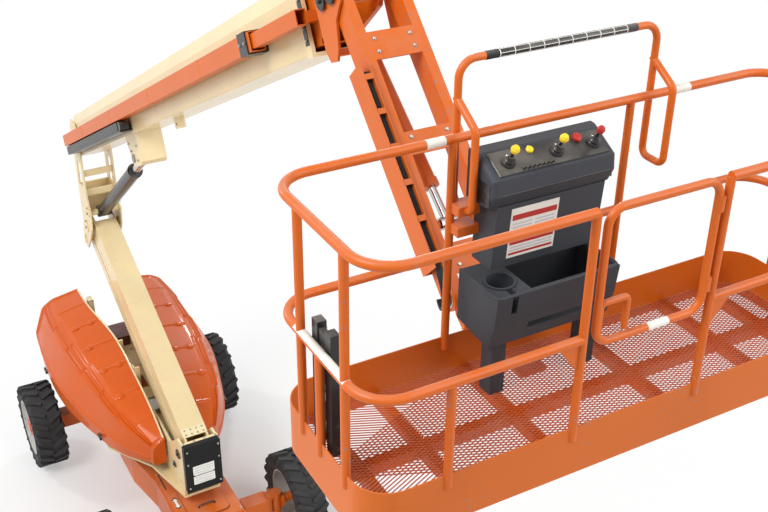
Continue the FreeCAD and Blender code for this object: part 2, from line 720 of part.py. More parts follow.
def jib_head():
    """Two plates between the fly boom, the jib and the jib's cylinder, with their pins."""
    outline = [(-90, -40), (30, -255), (90, -300), (160, -270), (175, -200), (150, -60), (200, 60),
               (175, 130), (80, 150), (-40, 90)]
    y0 = jib_half + 4
    plates = both_sides(side_plate(outline, y0, y0 + 14))
    pins = [cross_rod(0, 0, 34, y0 + 24), cross_rod(head_dx, head_dz, 34, y0 + 24),
            cross_rod(head_dx + jib_cyl_base[0], head_dz + jib_cyl_base[1], jib_cyl_pin, y0 + 4)]
    return place(fuse(plates + pins), fly_tip, 0)


def jib_arm():
    """Two arms tied by three cross plates, stubs for the cylinder's rod and a tray on the right arm."""
    half = jib_arm_depth / 2
    y0 = jib_half - jib_arm_width
    eyes = [rod((x, y0, 0), (0, 1, 0), half, jib_arm_width) for x in (0, jib_length)]
    arms = both_sides(fuse([box(0, jib_length, y0, jib_half, -half, half)] + eyes))
    plates = [box(x, x + w, -y0 - 2, y0 + 2, half - 12, half) for x, w in jib_plates]
    stub = rod((jib_cyl_along, jib_cyl_eye + eye_side_gap, jib_cyl_drop), (0, 1, 0), 24,
               y0 + 2 - jib_cyl_eye - eye_side_gap)
    stubs = both_sides(stub)
    drop = [(-70, -half + 2), (-30, jib_cyl_drop - 38), (30, jib_cyl_drop - 38), (70, -half + 2)]
    drops = both_sides(side_plate([(jib_cyl_along + x, z) for x, z in drop], y0, y0 + 18))
    tray = box(tray_start, tray_end, -jib_half - tray_reach, -jib_half + 1, -half + 6, half + 22)
    tray = tray.cut(box(tray_start - 20, jib_length, -jib_half - tray_reach + 6, -jib_half - 4, -half + 12,
                        half + 30))
    shape = fuse(arms + plates + drops + stubs + [tray])
    for x in (0, jib_length):
        shape = shape.cut(cross_rod(x, 0, 34 + kingpin_gap, 300))
    return place(shape, jib_pivot, jib_angle)


# Platform and its support
def platform_support():
    """Plates on the jib's end pin with the upright rotator body."""
    y0 = 110.0
    rear = rotator_offset - 78
    outline = [(-45, -60), (-20, -120), (rear + 20, -180), (rear + 20, 90), (20, 70), (-45, 40)]
    plates = both_sides(side_plate(outline, y0, y0 + 14))
    pin = cross_rod(0, 0, 34, jib_half + 10)
    body = rod((rotator_offset, 0, -190), (0, 0, 1), 88, 290)
    block = box(rear - 2, rear + 20, -y0 - 14, y0 + 14, -170, 85)
    neck = box(rear, rotator_offset, -78, 78, -170, 85)
    return place(fuse(plates + [pin, body, block, neck]), jib_end, 0)


def rotator_bracket():
    """Bracket that grips the rotator above and below and carries the platform."""
    plate, half, rib, back_half = 22.0, 70.0, 14.0, 48.0
    z_top, z_low = jib_end[1] + 100.3, jib_end[1] - 190.3
    back = rotator_x + 104
    pieces = [rod((rotator_x, 0, z), (0, 0, 1), 84, plate) for z in (z_top, z_low - plate)]
    pieces.append(box(rotator_x, rail_far - rail_radius - 1, -half, half, z_top, z_top + plate))
    pieces.append(box(rotator_x, rail_far + 60, -half, half, z_low - plate, z_low))
    pieces.append(box(back, back + 18, -back_half, back_half, z_low - plate, z_top + plate))
    for y in (-back_half + 4, back_half - 4 - rib):
        pieces.append(box(back + 6, rail_far - toe_thick - 0.3, y, y + rib, floor_z - 60, z_top))
    return fuse(pieces)


def rounded_plate(inset, radius, z0, z1):
    """A plate of the platform's outline with rounded corners."""
    x0, x1 = rail_far + inset, rail_near - inset
    half = platform_length / 2 - inset
    block = box(x0, x1, -half, half, z0, z1)
    edges = [e for e in block.Edges if abs(e.tangentAt(e.FirstParameter).z) > 0.9]
    return block.makeFillet(radius, edges)


def toe_boards():
    """Toe boards round the floor and the members under it."""
    low = floor_z - toe_drop
    toe = rounded_plate(-toe_thick, corner_radius, low, floor_z + toe_height)
    toe = toe.cut(rounded_plate(0, corner_radius - toe_thick, low - 1, floor_z + toe_height + 1))
    under = floor_z - floor_thick - 0.3
    middle = (rail_far + rail_near) / 2
    half = platform_length / 2 + 1
    pieces = [toe, box(middle - 25, middle + 25, -half, half, low, under)]
    for y in (-1060.0, -780.0, -340.0, 270.0, 780.0, 1060.0):
        pieces.append(box(rail_far - 1, rail_near + 1, y - 22, y + 22, low, under))
    return fuse(pieces).cut(Part.makeCompound(rail_posts(kingpin_gap)))


def platform_floor():
    """Floor plate inside the toe boards."""
    return rounded_plate(0.3, corner_radius - toe_thick, floor_z - floor_thick, floor_z)


def lift_points(points, height):
    """Points raised to a height above the floor."""
    return [V(p.x, p.y, floor_z + height) for p in points]


def open_ring(height, radius):
    """A rail round the platform, open at the gate."""
    x0, x1 = rail_far, rail_near
    half = platform_length / 2
    ring = [V(x1, gate_right, 0), V(x1, half, 0), V(x0, half, 0), V(x0, -half, 0), V(x1, -half, 0),
            V(x1, gate_left, 0)]
    return tube_path(lift_points(ring, height), radius, corner_radius, 0)


# Posts: side of the platform, distance along it from its middle, head
post_table = [
    ("near", gate_left, rail_height), ("near", gate_right, rail_height), ("far", -450.0, rail_height),
    ("far", 430.0, rail_height), ("left", 200.0, rail_height), ("left", -150.0, rail_height),
    ("right", 200.0, rail_height), ("right", -150.0, rail_height), ("left", 0.0, mid_rail_height),
    ("right", 0.0, mid_rail_height), ("near", -900.0, mid_rail_height), ("near", 900.0, mid_rail_height)]


def rail_posts(gap=0.0):
    """Upright posts from the toe boards to the rails, grown by a gap."""
    middle = (rail_far + rail_near) / 2
    half = platform_length / 2
    low = toe_height - 60
    pieces = []
    for side, distance, head in post_table:
        x, y = {"far": (rail_far, distance), "near": (rail_near, distance),
                "left": (middle + distance, -half), "right": (middle + distance, half)}[side]
        pieces.append(rod((x, y, floor_z + low - gap), (0, 0, 1), post_radius + gap, head - low))
    return pieces


def guard_rails():
    """Top rail, mid rail and posts of the platform, one welded frame."""
    rails = [open_ring(rail_height, rail_radius), open_ring(mid_rail_height, rail_radius)]
    gussets = []
    for y, sign in ((gate_left, -1), (gate_right, 1)):
        points = [(y, mid_rail_height), (y + sign * 120, mid_rail_height), (y, mid_rail_height - 150)]
        wire = Part.makePolygon([V(rail_near - 4, a, floor_z + b) for a, b in points + points[:1]])
        gussets.append(Part.Face(wire).extrude(V(8, 0, 0)))
    return fuse(rails + rail_posts() + gussets)


def guard_tube():
    """Raised guard tube over the console, on a bent side loop at each end behind the far rail."""
    r = rail_radius * 0.84
    back = rail_far - rail_radius - r - 0.3
    front = rail_far + guard_reach
    pieces = []
    for y in (guard_left, guard_right):
        loop = [(back, guard_top - 190), (back, guard_low), (front, guard_low), (front, guard_knee),
                (back - 10, guard_top - 150)]
        pieces.append(tube_path([V(x, y, floor_z + z) for x, z in loop], r, 38, 0))
    hoop = [(guard_left, guard_top - 200), (guard_left, guard_top), (guard_right, guard_top),
            (guard_right, guard_top - 200)]
    pieces.append(tube_path([V(back, y, floor_z + z) for y, z in hoop], r, 75, 0))
    return fuse(pieces)


def gate():
    """Hoop-shaped gate with its hinges and a square latch frame."""
    r = rail_radius * 0.85
    x = rail_near
    y0, y1 = gate_left + 2 * rail_radius + gate_gap, gate_right - 2 * rail_radius - 8
    z0, z1 = floor_z + mid_rail_height - 40, floor_z + rail_height
    ring = [V(x, y0, z0), V(x, y0, z1), V(x, y1, z1), V(x, y1, z0)]
    hinge_radius = gate_right - post_radius - gate_hinge_y - 0.3
    hinges = [rod((x, gate_hinge_y, floor_z + z), (0, 0, 1), hinge_radius, 60) for z in (620.0, 960.0)]
    y = y0 + r
    z = floor_z + mid_rail_height + 2
    latch = [V(x, y - 4, z - 8), V(x, y - 4, z + 130), V(x, y + 120, z + 130), V(x, y + 120, z - 8)]
    latch_bar = tube_path(latch, 13, 22, 0)
    return fuse([tube_path(ring, r, 70, 0, closed=True), latch_bar] + hinges)


def control_console():
    """Charcoal console: a tapered box with a sloped, overhanging head and two ears at the far rail."""
    x0 = rail_far + rail_radius + 0.3
    d = console_depth
    head = [(0, 840), (d - 28, 850), (d, 905), (d - 8, 975), (60, console_top), (0, console_top)]
    body = [(12, console_low), (d - 45, console_low), (d - 22, 852), (12, 845)]
    top = side_plate([(x0 + x, floor_z + z) for x, z in head], console_left, console_right)
    rounded = [e for e in top.Edges if abs(e.tangentAt(e.FirstParameter).y) < 0.1
               and e.CenterOfMass.z > floor_z + 845 and e.CenterOfMass.x > x0 + 30]
    top = top.makeFillet(26, rounded)
    lower = side_plate([(x0 + x, floor_z + z) for x, z in body], console_left + 35, console_right - 35)
    ears = [box(x0, x0 + 14, y, y + 60, floor_z + console_low - 20, floor_z + 850)
            for y in (console_left + 60, console_right - 120)]
    return fuse([top, lower] + ears)


def tool_tray():
    """Open charcoal tray under the console, with a cup well and two feet."""
    x0 = rail_far + rail_radius + 0.3
    y0, y1 = console_left - 15, console_right
    z0, z1 = floor_z + tray_low, floor_z + tray_top
    outline = [(x0, z0 + 20), (x0 + 235, z0), (x0 + 270, z0 + 120), (x0 + 285, z1), (x0, z1)]
    shell = side_plate(outline, y0, y1)
    shell = shell.cut(box(x0 + 12, x0 + 262, y0 + 175, y1 - 14, z0 + 60, z1 + 10))
    shell = shell.cut(rod((x0 + 165, y0 + 88, z1 - 90), (0, 0, 1), 58, 120))
    shell = shell.cut(box(x0 + 200, x0 + 300, y0 + 74, y0 + 102, z1 - 90, z1 + 10))
    feet = [box(x0 + 150, x0 + 225, y, y + 70, floor_z + 0.3, z0 + 30) for y in (y0 + 30, y1 - 110)]
    return fuse([shell] + feet)


def side_bracket():
    """Black bracket of two uprights inside the platform's left end."""
    y0 = -platform_length / 2 + rail_radius + 0.3
    middle = (rail_far + rail_near) / 2
    bars = [box(x, x + 45, y0, y0 + 38, floor_z + 130, floor_z + 665) for x in (middle - 95, middle + 10)]
    ties = [box(middle - 60, middle + 20, y0 + 4, y0 + 30, floor_z + z, floor_z + z + 40)
            for z in (180, 350, 600)]
    return fuse(bars + ties)


def wheel_nodes():
    """A tyre and a rim at each corner."""
    corners = (("front_left", 1, 1), ("front_right", 1, -1), ("rear_left", -1, 1), ("rear_right", -1, -1))
    for name, sign, side in corners:
        nodes["tyre_" + name] = tyre(sign * axle_x, side)
        nodes["rim_" + name] = rim(sign * axle_x, side)


nodes["chassis_frame"] = chassis_frame()
nodes["front_deck"] = front_deck()
nodes["front_axle"] = axle(1)
nodes["rear_axle"] = axle(-1)
nodes["knuckle_left"] = knuckle(1)
nodes["knuckle_right"] = knuckle(-1)
wheel_nodes()
nodes["swing_bearing"] = swing_bearing()
nodes["turntable_frame"] = turntable_frame()
nodes["counterweight"] = counterweight()
nodes["engine_block"] = box(-1300, -200, cheek_outer + 60, 620, floor_top + 0.3, 1480)
nodes["tank_block"] = box(-1300, 0, -600, -cheek_outer - 60, floor_top + 0.3, 1440)
nodes["hood_left"] = hood(1)
nodes["hood_right"] = hood(-1)
nodes["lower_boom"] = lower_boom()
nodes["pivot_cover"] = pivot_cover()
nodes["timing_link"] = timing_link()
lower_cyl_tip = along(lower_pivot, lower_pitch, -lower_lug_along, -lower_lug_drop)
nodes["lower_lift_barrel"], nodes["lower_lift_rod"] = cylinder_pair(
    lower_cyl_base, lower_cyl_tip, lower_tube, lower_rod, lower_eye_width, lower_shown, lower_cyl_pin,
    lower_retract)
nodes["upright"] = upright()
main_cyl_base = (elbow[0] + main_cyl_seat[0], elbow[1] + main_cyl_seat[1])
main_cyl_tip = along(main_pivot, main_angle, bracket_x, bracket_z)
nodes["main_lift_barrel"], nodes["main_lift_rod"] = cylinder_pair(
    main_cyl_base, main_cyl_tip, main_tube, main_rod, main_eye_width, main_shown, main_cyl_pin, main_retract)
nodes["main_boom"] = main_boom()
nodes["cable_tube"] = cable_tube()
nodes["tube_clamp"] = tube_clamp()
nodes["carrier_tube"] = carrier_tube()
nodes["power_track"] = power_track()
nodes["fly_boom"] = fly_boom()
nodes["jib_head"] = jib_head()
nodes["jib_arm"] = jib_arm()
jib_base = (jib_pivot[0] + jib_cyl_base[0], jib_pivot[1] + jib_cyl_base[1])
jib_tip = along(jib_pivot, jib_angle, jib_cyl_along, jib_cyl_drop)
nodes["jib_lift_barrel"], nodes["jib_lift_rod"] = cylinder_pair(
    jib_base, jib_tip, jib_tube, jib_rod, 2 * jib_cyl_eye, jib_shown, jib_cyl_pin, jib_retract)
nodes["platform_support"] = platform_support()
nodes["rotator_bracket"] = rotator_bracket()
nodes["toe_boards"] = toe_boards()
nodes["platform_floor"] = platform_floor()
nodes["guard_rails"] = guard_rails()
nodes["guard_tube"] = guard_tube()
nodes["side_bracket"] = side_bracket()
nodes["gate"] = gate()
nodes["control_console"] = control_console()
nodes["tool_tray"] = tool_tray()

os.makedirs("parts", exist_ok=True)
for name, shape in nodes.items():
    solids = shape.Solids
    shape.exportStep("parts/" + name + ".step")
    print(name, len(solids), "valid" if shape.isValid() else "NOT VALID", round(shape.Volume / 1e9, 4))
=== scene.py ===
"""Articulating boom lift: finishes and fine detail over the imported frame, in metres.

+X runs from the upright to the platform, +Y to the machine's left, +Z up from the ground
under the swing axis.
"""

import json
import logging
import math
from dataclasses import dataclass, field
from enum import Enum

import bmesh
import bpy
from mathutils import Matrix, Vector

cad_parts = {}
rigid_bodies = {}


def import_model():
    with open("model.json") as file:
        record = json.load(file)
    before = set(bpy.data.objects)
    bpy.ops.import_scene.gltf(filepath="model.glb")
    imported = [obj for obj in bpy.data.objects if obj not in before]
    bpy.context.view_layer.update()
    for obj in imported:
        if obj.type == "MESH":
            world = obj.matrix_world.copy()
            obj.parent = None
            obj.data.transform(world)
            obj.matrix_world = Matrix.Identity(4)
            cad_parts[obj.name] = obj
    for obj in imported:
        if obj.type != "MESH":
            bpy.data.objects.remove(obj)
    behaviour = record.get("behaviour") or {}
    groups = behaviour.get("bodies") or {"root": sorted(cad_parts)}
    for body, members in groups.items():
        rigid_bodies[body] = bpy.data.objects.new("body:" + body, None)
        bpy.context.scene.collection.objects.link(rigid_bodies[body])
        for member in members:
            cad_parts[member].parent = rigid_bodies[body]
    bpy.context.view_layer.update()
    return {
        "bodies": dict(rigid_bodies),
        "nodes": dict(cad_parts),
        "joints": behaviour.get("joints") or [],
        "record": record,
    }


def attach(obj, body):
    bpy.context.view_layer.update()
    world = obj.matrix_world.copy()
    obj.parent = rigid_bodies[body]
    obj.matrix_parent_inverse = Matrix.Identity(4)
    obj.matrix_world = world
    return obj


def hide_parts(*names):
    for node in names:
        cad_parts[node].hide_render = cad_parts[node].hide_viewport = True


LOG = logging.getLogger("boom_lift")
Point = tuple[float, float, float]
Colour = tuple[float, float, float]


class Slot(Enum):
    """Material slots of the record."""

    ORANGE = "orange"
    CREAM = "cream"
    DARK_RED = "dark_red"
    BLACK = "black"
    CHARCOAL = "charcoal"
    RUBBER = "rubber"
    SILVER = "silver"
    CHROME = "chrome"
    STEEL = "steel"


class Body(Enum):
    """Bodies of the frame that carry dressed pieces."""

    CHASSIS = "chassis"
    TURNTABLE = "turntable"
    HOOD_LEFT = "hood_left"
    HOOD_RIGHT = "hood_right"
    LOWER_BOOM = "lower_boom"
    UPRIGHT = "upright"
    MAIN_BOOM = "main_boom"
    JIB_HEAD = "jib_head"
    JIB = "jib"
    SUPPORT = "platform_support"
    PLATFORM = "platform"
    GATE = "gate"


# Shared shader groups


def _add_group(name: str, inputs: dict[str, float], outputs: dict[str, str]) -> bpy.types.NodeTree:
    """Start a shader node group with float inputs.

    Args:
        name: The group's name.
        inputs: Input name to default value.
        outputs: Output name to socket type.

    Returns:
        The new node tree, with its input and output nodes.
    """
    tree = bpy.data.node_groups.new(name, "ShaderNodeTree")
    for label, value in inputs.items():
        socket = tree.interface.new_socket(name=label, in_out="INPUT", socket_type="NodeSocketFloat")
        socket.default_value = value
    for label, kind in outputs.items():
        tree.interface.new_socket(name=label, in_out="OUTPUT", socket_type=kind)
    tree.nodes.new("NodeGroupInput").name = "in"
    tree.nodes.new("NodeGroupOutput").name = "out"
    return tree


def _noise(tree: bpy.types.NodeTree, source: bpy.types.NodeSocket, scale: float,
           detail: float) -> bpy.types.Node:
    """Add a noise texture at a fixed scale and return its node.

    Args:
        tree: The node tree to add to.
        source: The coordinates.
        scale: Scale of the noise.
        detail: Its detail.

    Returns:
        The noise node.
    """
    node = tree.nodes.new("ShaderNodeTexNoise")
    node.inputs["Scale"].default_value = scale
    node.inputs["Detail"].default_value = detail
    tree.links.new(source, node.inputs["Vector"])
    return node


def _ramp(tree: bpy.types.NodeTree, source: bpy.types.NodeSocket, low: float,
          high: float) -> bpy.types.NodeSocket:
    """Map a value from low..high to 0..1, clamped, and return the result's socket.

    Args:
        tree: The node tree to add to.
        source: The coordinates.
        low: Value that gives 0.
        high: Value that gives 1.

    Returns:
        The result's socket.
    """
    node = tree.nodes.new("ShaderNodeMapRange")
    node.inputs["From Min"].default_value = low
    node.inputs["From Max"].default_value = high
    tree.links.new(source, node.inputs["Value"])
    return node.outputs["Result"]


def _multiply(tree: bpy.types.NodeTree, first: bpy.types.NodeSocket,
              second: bpy.types.NodeSocket) -> bpy.types.NodeSocket:
    """Multiply two values and return the product's socket.

    Args:
        tree: The node tree to add to.
        first: First value or colour.
        second: Second value or colour.

    Returns:
        The product's socket.
    """
    node = tree.nodes.new("ShaderNodeMath")
    node.operation = "MULTIPLY"
    tree.links.new(first, node.inputs[0])
    tree.links.new(second, node.inputs[1])
    return node.outputs["Value"]


def weather_group() -> bpy.types.NodeTree:
    """Build the group that gives scuffs, dust on upward faces, tone drift and fine relief.

    Returns:
        The node tree, built once.
    """
    existing = bpy.data.node_groups.get("weather")
    if existing:
        return existing
    tree = _add_group(
        "weather",
        {"Scuffs": 0.3, "Dust": 0.3},
        {"Scuff": "NodeSocketFloat", "Dust": "NodeSocketFloat", "Tone": "NodeSocketFloat",
         "Height": "NodeSocketFloat"},
    )
    coords = tree.nodes.new("ShaderNodeTexCoord").outputs["Object"]
    given, out = tree.nodes["in"].outputs, tree.nodes["out"].inputs
    patches = _ramp(tree, _noise(tree, coords, 3.2, 3.0).outputs["Fac"], 0.52, 0.68)
    chips = _ramp(tree, _noise(tree, coords, 42.0, 6.0).outputs["Fac"], 0.60, 0.66)
    scuff = _multiply(tree, _multiply(tree, patches, chips), given["Scuffs"])
    normal = tree.nodes.new("ShaderNodeSeparateXYZ")
    tree.links.new(tree.nodes.new("ShaderNodeNewGeometry").outputs["Normal"], normal.inputs[0])
    up = _ramp(tree, normal.outputs["Z"], 0.3, 1.0)
    dust = _multiply(tree,
                     _multiply(tree, up,
                               _ramp(tree, _noise(tree, coords, 7.0, 5.0).outputs["Fac"], 0.3, 0.75)),
                               given["Dust"])
    tone = _ramp(tree, _noise(tree, coords, 1.7, 2.0).outputs["Fac"], 0.25, 0.75)
    height = _noise(tree, coords, 260.0, 2.0).outputs["Fac"]
    for label, socket in (("Scuff", scuff), ("Dust", dust), ("Tone", tone), ("Height", height)):
        tree.links.new(socket, out[label])
    return tree


def mottle_group() -> bpy.types.NodeTree:
    """Build the group that gives grain and blotches for plastic, rubber and bare metal.

    Returns:
        The node tree, built once.
    """
    existing = bpy.data.node_groups.get("mottle")
    if existing:
        return existing
    tree = _add_group("mottle", {"Grain": 400.0, "Blotch": 5.0},
                      {"Height": "NodeSocketFloat", "Blotch": "NodeSocketFloat"})
    coords = tree.nodes.new("ShaderNodeTexCoord").outputs["Object"]
    given, out = tree.nodes["in"].outputs, tree.nodes["out"].inputs
    grain, blotch = _noise(tree, coords, 400.0, 2.0), _noise(tree, coords, 5.0, 5.0)
    tree.links.new(given["Grain"], grain.inputs["Scale"])
    tree.links.new(given["Blotch"], blotch.inputs["Scale"])
    tree.links.new(grain.outputs["Fac"], out["Height"])
    tree.links.new(_ramp(tree, blotch.outputs["Fac"], 0.35, 0.7), out["Blotch"])
    return tree


def _mix(tree: bpy.types.NodeTree, factor: bpy.types.NodeSocket, first: bpy.types.NodeSocket | Colour,
         second: Colour) -> bpy.types.NodeSocket:
    """Mix two colours by a factor and return the mixed colour's socket.

    Args:
        tree: The node tree to add to.
        factor: Share of the second one.
        first: First value or colour.
        second: Second value or colour.

    Returns:
        The mixed colour's socket.
    """
    node = tree.nodes.new("ShaderNodeMix")
    node.data_type = "RGBA"
    tree.links.new(factor, node.inputs["Factor"])
    if isinstance(first, tuple):
        node.inputs["A"].default_value = (*first, 1.0)
    else:
        tree.links.new(first, node.inputs["A"])
    node.inputs["B"].default_value = (*second, 1.0)
    return node.outputs["Result"]


def _shade(colour: Colour, factor: float) -> Colour:
    """Scale a colour's brightness."""
    return tuple(min(1.0, c * factor) for c in colour)


@dataclass(frozen=True)
class Enamel:
    """Gloss enamel on steel, with chips, dust and a slow drift of tone.

    Attributes:
        name: Material name.
        colour: Linear base colour.
        roughness: Roughness of clean paint.
        coat: Clear coat weight.
        scuffs: Share of chipped patches.
        dust: Strength of dust on upward faces.
        bare: Colour under a chip.
        shine: Level of the base reflection.
    """

    name: str
    colour: Colour
    roughness: float = 0.34
    coat: float = 0.35
    scuffs: float = 0.5
    dust: float = 0.25
    bare: Colour = (0.22, 0.2, 0.18)
    shine: float = 0.28

    def build(self) -> bpy.types.Material:
        """Make the material, or return the one already made.

        Returns:
            The material.
        """
        made = bpy.data.materials.get(self.name)
        if made:
            return made
        mat = bpy.data.materials.new(self.name)
        mat.use_nodes = True
        tree = mat.node_tree
        shader = tree.nodes["Principled BSDF"]
        weather = tree.nodes.new("ShaderNodeGroup")
        weather.node_tree = weather_group()
        weather.inputs["Scuffs"].default_value = self.scuffs
        weather.inputs["Dust"].default_value = self.dust
        tone = _mix(tree, weather.outputs["Tone"], _shade(self.colour, 0.93), _shade(self.colour, 1.05))
        dusty = _mix(tree, weather.outputs["Dust"], tone, (0.42, 0.37, 0.31))
        chipped = _mix(tree, weather.outputs["Scuff"], dusty, self.bare)
        tree.links.new(chipped, shader.inputs["Base Color"])
        rough = tree.nodes.new("ShaderNodeMapRange")
        rough.inputs["To Min"].default_value = self.roughness
        rough.inputs["To Max"].default_value = min(1.0, self.roughness + 0.35)
        tree.links.new(weather.outputs["Dust"], rough.inputs["Value"])
        tree.links.new(rough.outputs["Result"], shader.inputs["Roughness"])
        shader.inputs["Specular IOR Level"].default_value = self.shine
        shader.inputs["Coat Weight"].default_value = self.coat
        shader.inputs["Coat Roughness"].default_value = 0.12
        _bump(tree, weather.outputs["Height"], shader, 0.05, 0.0004)
        return mat


@dataclass(frozen=True)
class Matter:
    """Plastic, rubber or bare metal with a fine grain.

    Attributes:
        name: Material name.
        colour: Linear base colour.
        roughness: Roughness.
        metallic: Metallic value.
        grain: Scale of the surface grain.
        relief: Bump strength of the grain.
        blotch: Brightness factor in the blotches.
        sheen: Coat weight.
        shine: Level of the base reflection.
    """

    name: str
    colour: Colour
    roughness: float = 0.6
    metallic: float = 0.0
    grain: float = 400.0
    relief: float = 0.2
    blotch: float = 1.25
    sheen: float = 0.0
    shine: float = 0.4

    def build(self) -> bpy.types.Material:
        """Make the material, or return the one already made.

        Returns:
            The material.
        """
        made = bpy.data.materials.get(self.name)
        if made:
            return made
        mat = bpy.data.materials.new(self.name)
        mat.use_nodes = True
        tree = mat.node_tree
        shader = tree.nodes["Principled BSDF"]
        mottle = tree.nodes.new("ShaderNodeGroup")
        mottle.node_tree = mottle_group()
        mottle.inputs["Grain"].default_value = self.grain
        colour = _mix(tree, mottle.outputs["Blotch"], self.colour, _shade(self.colour, self.blotch))
        tree.links.new(colour, shader.inputs["Base Color"])
        rough = tree.nodes.new("ShaderNodeMapRange")
        rough.inputs["To Min"].default_value = max(0.05, self.roughness - 0.08)
        rough.inputs["To Max"].default_value = min(1.0, self.roughness + 0.1)
        tree.links.new(mottle.outputs["Blotch"], rough.inputs["Value"])
        tree.links.new(rough.outputs["Result"], shader.inputs["Roughness"])
        shader.inputs["Metallic"].default_value = self.metallic
        shader.inputs["Specular IOR Level"].default_value = self.shine
        shader.inputs["Coat Weight"].default_value = self.sheen
        _bump(tree, mottle.outputs["Height"], shader, self.relief, 0.001)
        return mat


def _bump(tree: bpy.types.NodeTree, height: bpy.types.NodeSocket, shader: bpy.types.Node, strength: float,
          distance: float) -> None:
    """Feed a height into a shader's normal through a Bump node.

    Args:
        tree: The node tree to add to.
        height: The height's socket.
        shader: The shader whose normal it feeds.
        strength: Strength of the bump.
        distance: Its depth in metres.
    """
    bump = tree.nodes.new("ShaderNodeBump")
    bump.inputs["Strength"].default_value = strength
    bump.inputs["Distance"].default_value = distance
    tree.links.new(height, bump.inputs["Height"])
    tree.links.new(bump.outputs["Normal"], shader.inputs["Normal"])


ORANGE = Enamel("orange_enamel", (0.62, 0.118, 0.006), roughness=0.40, coat=0.10)
FLOOR_ORANGE = Enamel("floor_orange_enamel", (0.50, 0.075, 0.012), roughness=0.5, coat=0.05, scuffs=0.9,
                      dust=0.4)
TOE_ORANGE = Enamel("toe_orange_enamel", (0.60, 0.125, 0.006), roughness=0.45, coat=0.06, scuffs=0.6,
                    dust=0.12)
HOOD_ORANGE = Matter("hood_orange_plastic", (0.58, 0.092, 0.005), roughness=0.36, grain=240.0, relief=0.04,
                     blotch=1.06, sheen=0.22, shine=0.15)
TRIM_CREAM = Enamel("trim_cream_enamel", (0.80, 0.68, 0.42), scuffs=0.2, dust=0.1)
CREAM = Enamel("cream_enamel", (0.76, 0.60, 0.33), scuffs=0.35, dust=0.2)
DARK_RED = Enamel("dark_red_enamel", (0.10, 0.016, 0.010), roughness=0.5, dust=0.15)
HUB_RED = Enamel("hub_red_enamel", (0.60, 0.07, 0.02), roughness=0.45)
BLACK = Enamel("black_enamel", (0.012, 0.012, 0.013), roughness=0.38, scuffs=0.5, dust=0.35,
               bare=(0.12, 0.11, 0.1))
RIM_GREY = Enamel("rim_grey_enamel", (0.44, 0.44, 0.42), roughness=0.42, scuffs=0.8, dust=0.3,
                  bare=(0.14, 0.13, 0.12))
TYRE = Matter("tyre_rubber", (0.018, 0.018, 0.019), roughness=0.74, grain=190.0, relief=0.45, blotch=2.2)
CHARCOAL = Matter("charcoal_plastic", (0.038, 0.042, 0.050), roughness=0.56, grain=520.0, relief=0.35,
                  blotch=1.2,
                  shine=0.3)
GLOSS_BLACK = Matter("gloss_black_plastic", (0.008, 0.008, 0.009), roughness=0.3, grain=300.0, relief=0.05,
                     blotch=1.3,
                     shine=0.15)
RUBBER = Matter("black_rubber", (0.012, 0.012, 0.013), roughness=0.5, grain=300.0, relief=0.2, blotch=1.6)
CHROME = Matter("polished_rod", (0.55, 0.55, 0.56), roughness=0.14, metallic=1.0, grain=90.0, relief=0.04,
                blotch=0.92)
STEEL = Matter("machined_steel", (0.36, 0.35, 0.33), roughness=0.36, metallic=1.0, grain=160.0, relief=0.15,
               blotch=0.8)
ZINC = Matter("zinc_bolt", (0.50, 0.49, 0.45), roughness=0.32, metallic=1.0, grain=220.0, relief=0.12,
              blotch=0.75)
# White for labels, placards and tape, and also for the painted highlights on the rails.
TAPE_AND_HIGHLIGHT = Matter("white_tape_and_painted_highlight", (0.80, 0.78, 0.72), roughness=0.45, grain=700.0, relief=0.08, blotch=0.9)
LABEL_RED = Matter("red_label", (0.45, 0.02, 0.015), roughness=0.35, grain=700.0, relief=0.03, blotch=0.95)
LABEL_GREY = Matter("grey_label", (0.55, 0.56, 0.58), roughness=0.35, grain=700.0, relief=0.03, blotch=0.95)
YELLOW = Matter("yellow_knob", (0.85, 0.62, 0.02), roughness=0.35, grain=300.0, relief=0.05, blotch=0.95,
                sheen=0.3)
SLOT_FINISH = {
    Slot.ORANGE: ORANGE, Slot.CREAM: CREAM, Slot.DARK_RED: DARK_RED, Slot.BLACK: BLACK,
    Slot.CHARCOAL: CHARCOAL,
    Slot.RUBBER: TYRE, Slot.SILVER: RIM_GREY, Slot.CHROME: CHROME, Slot.STEEL: STEEL,
}


# Places shared with the part's source


@dataclass(frozen=True)
class Arm:
    """A boom's own axes: along it, across to the left, and up from its centre line.

    Attributes:
        x: X of the pivot.
        z: Z of the pivot.
        pitch: Angle above the horizontal, in degrees.
    """

    x: float
    z: float
    pitch: float = 0.0

    def at(self, along: float, across: float = 0.0, up: float = 0.0) -> Vector:
        """Give the place of a point named in the boom's own axes."""
        return self.matrix() @ Vector((along, across, up))

    def matrix(self) -> Matrix:
        """Give the matrix from the boom's own axes to the frame."""
        turn = Matrix.Rotation(-math.radians(self.pitch), 4, "Y")
        return Matrix.Translation((self.x, 0.0, self.z)) @ turn


LOWER = Arm(1.25, 1.53, -24.5)
ELBOW = Arm(*[LOWER.at(-3.0)[i] for i in (0, 2)])
MAIN = Arm(ELBOW.x - 0.059, ELBOW.z + 1.08, 26.861)
LINK = Arm(LOWER.x - 0.15, LOWER.z - 0.235, -24.5)
HEAD = Arm(*[MAIN.at(7.024)[i] for i in (0, 2)])
JIB = Arm(HEAD.x + 0.1, HEAD.z + 0.06, -45.0)
JIB_END = Arm(*[JIB.at(1.62)[i] for i in (0, 2)])
ROTATOR_X = JIB_END.x + 0.115
FLOOR_Z = JIB_END.z - 0.072
RAIL_FAR = ROTATOR_X + 0.2775
RAIL_NEAR = RAIL_FAR + 0.752
HALF_LENGTH = 1.22
RAIL_RADIUS = 0.019
HATCH_END = 1.53


# Mesh helpers


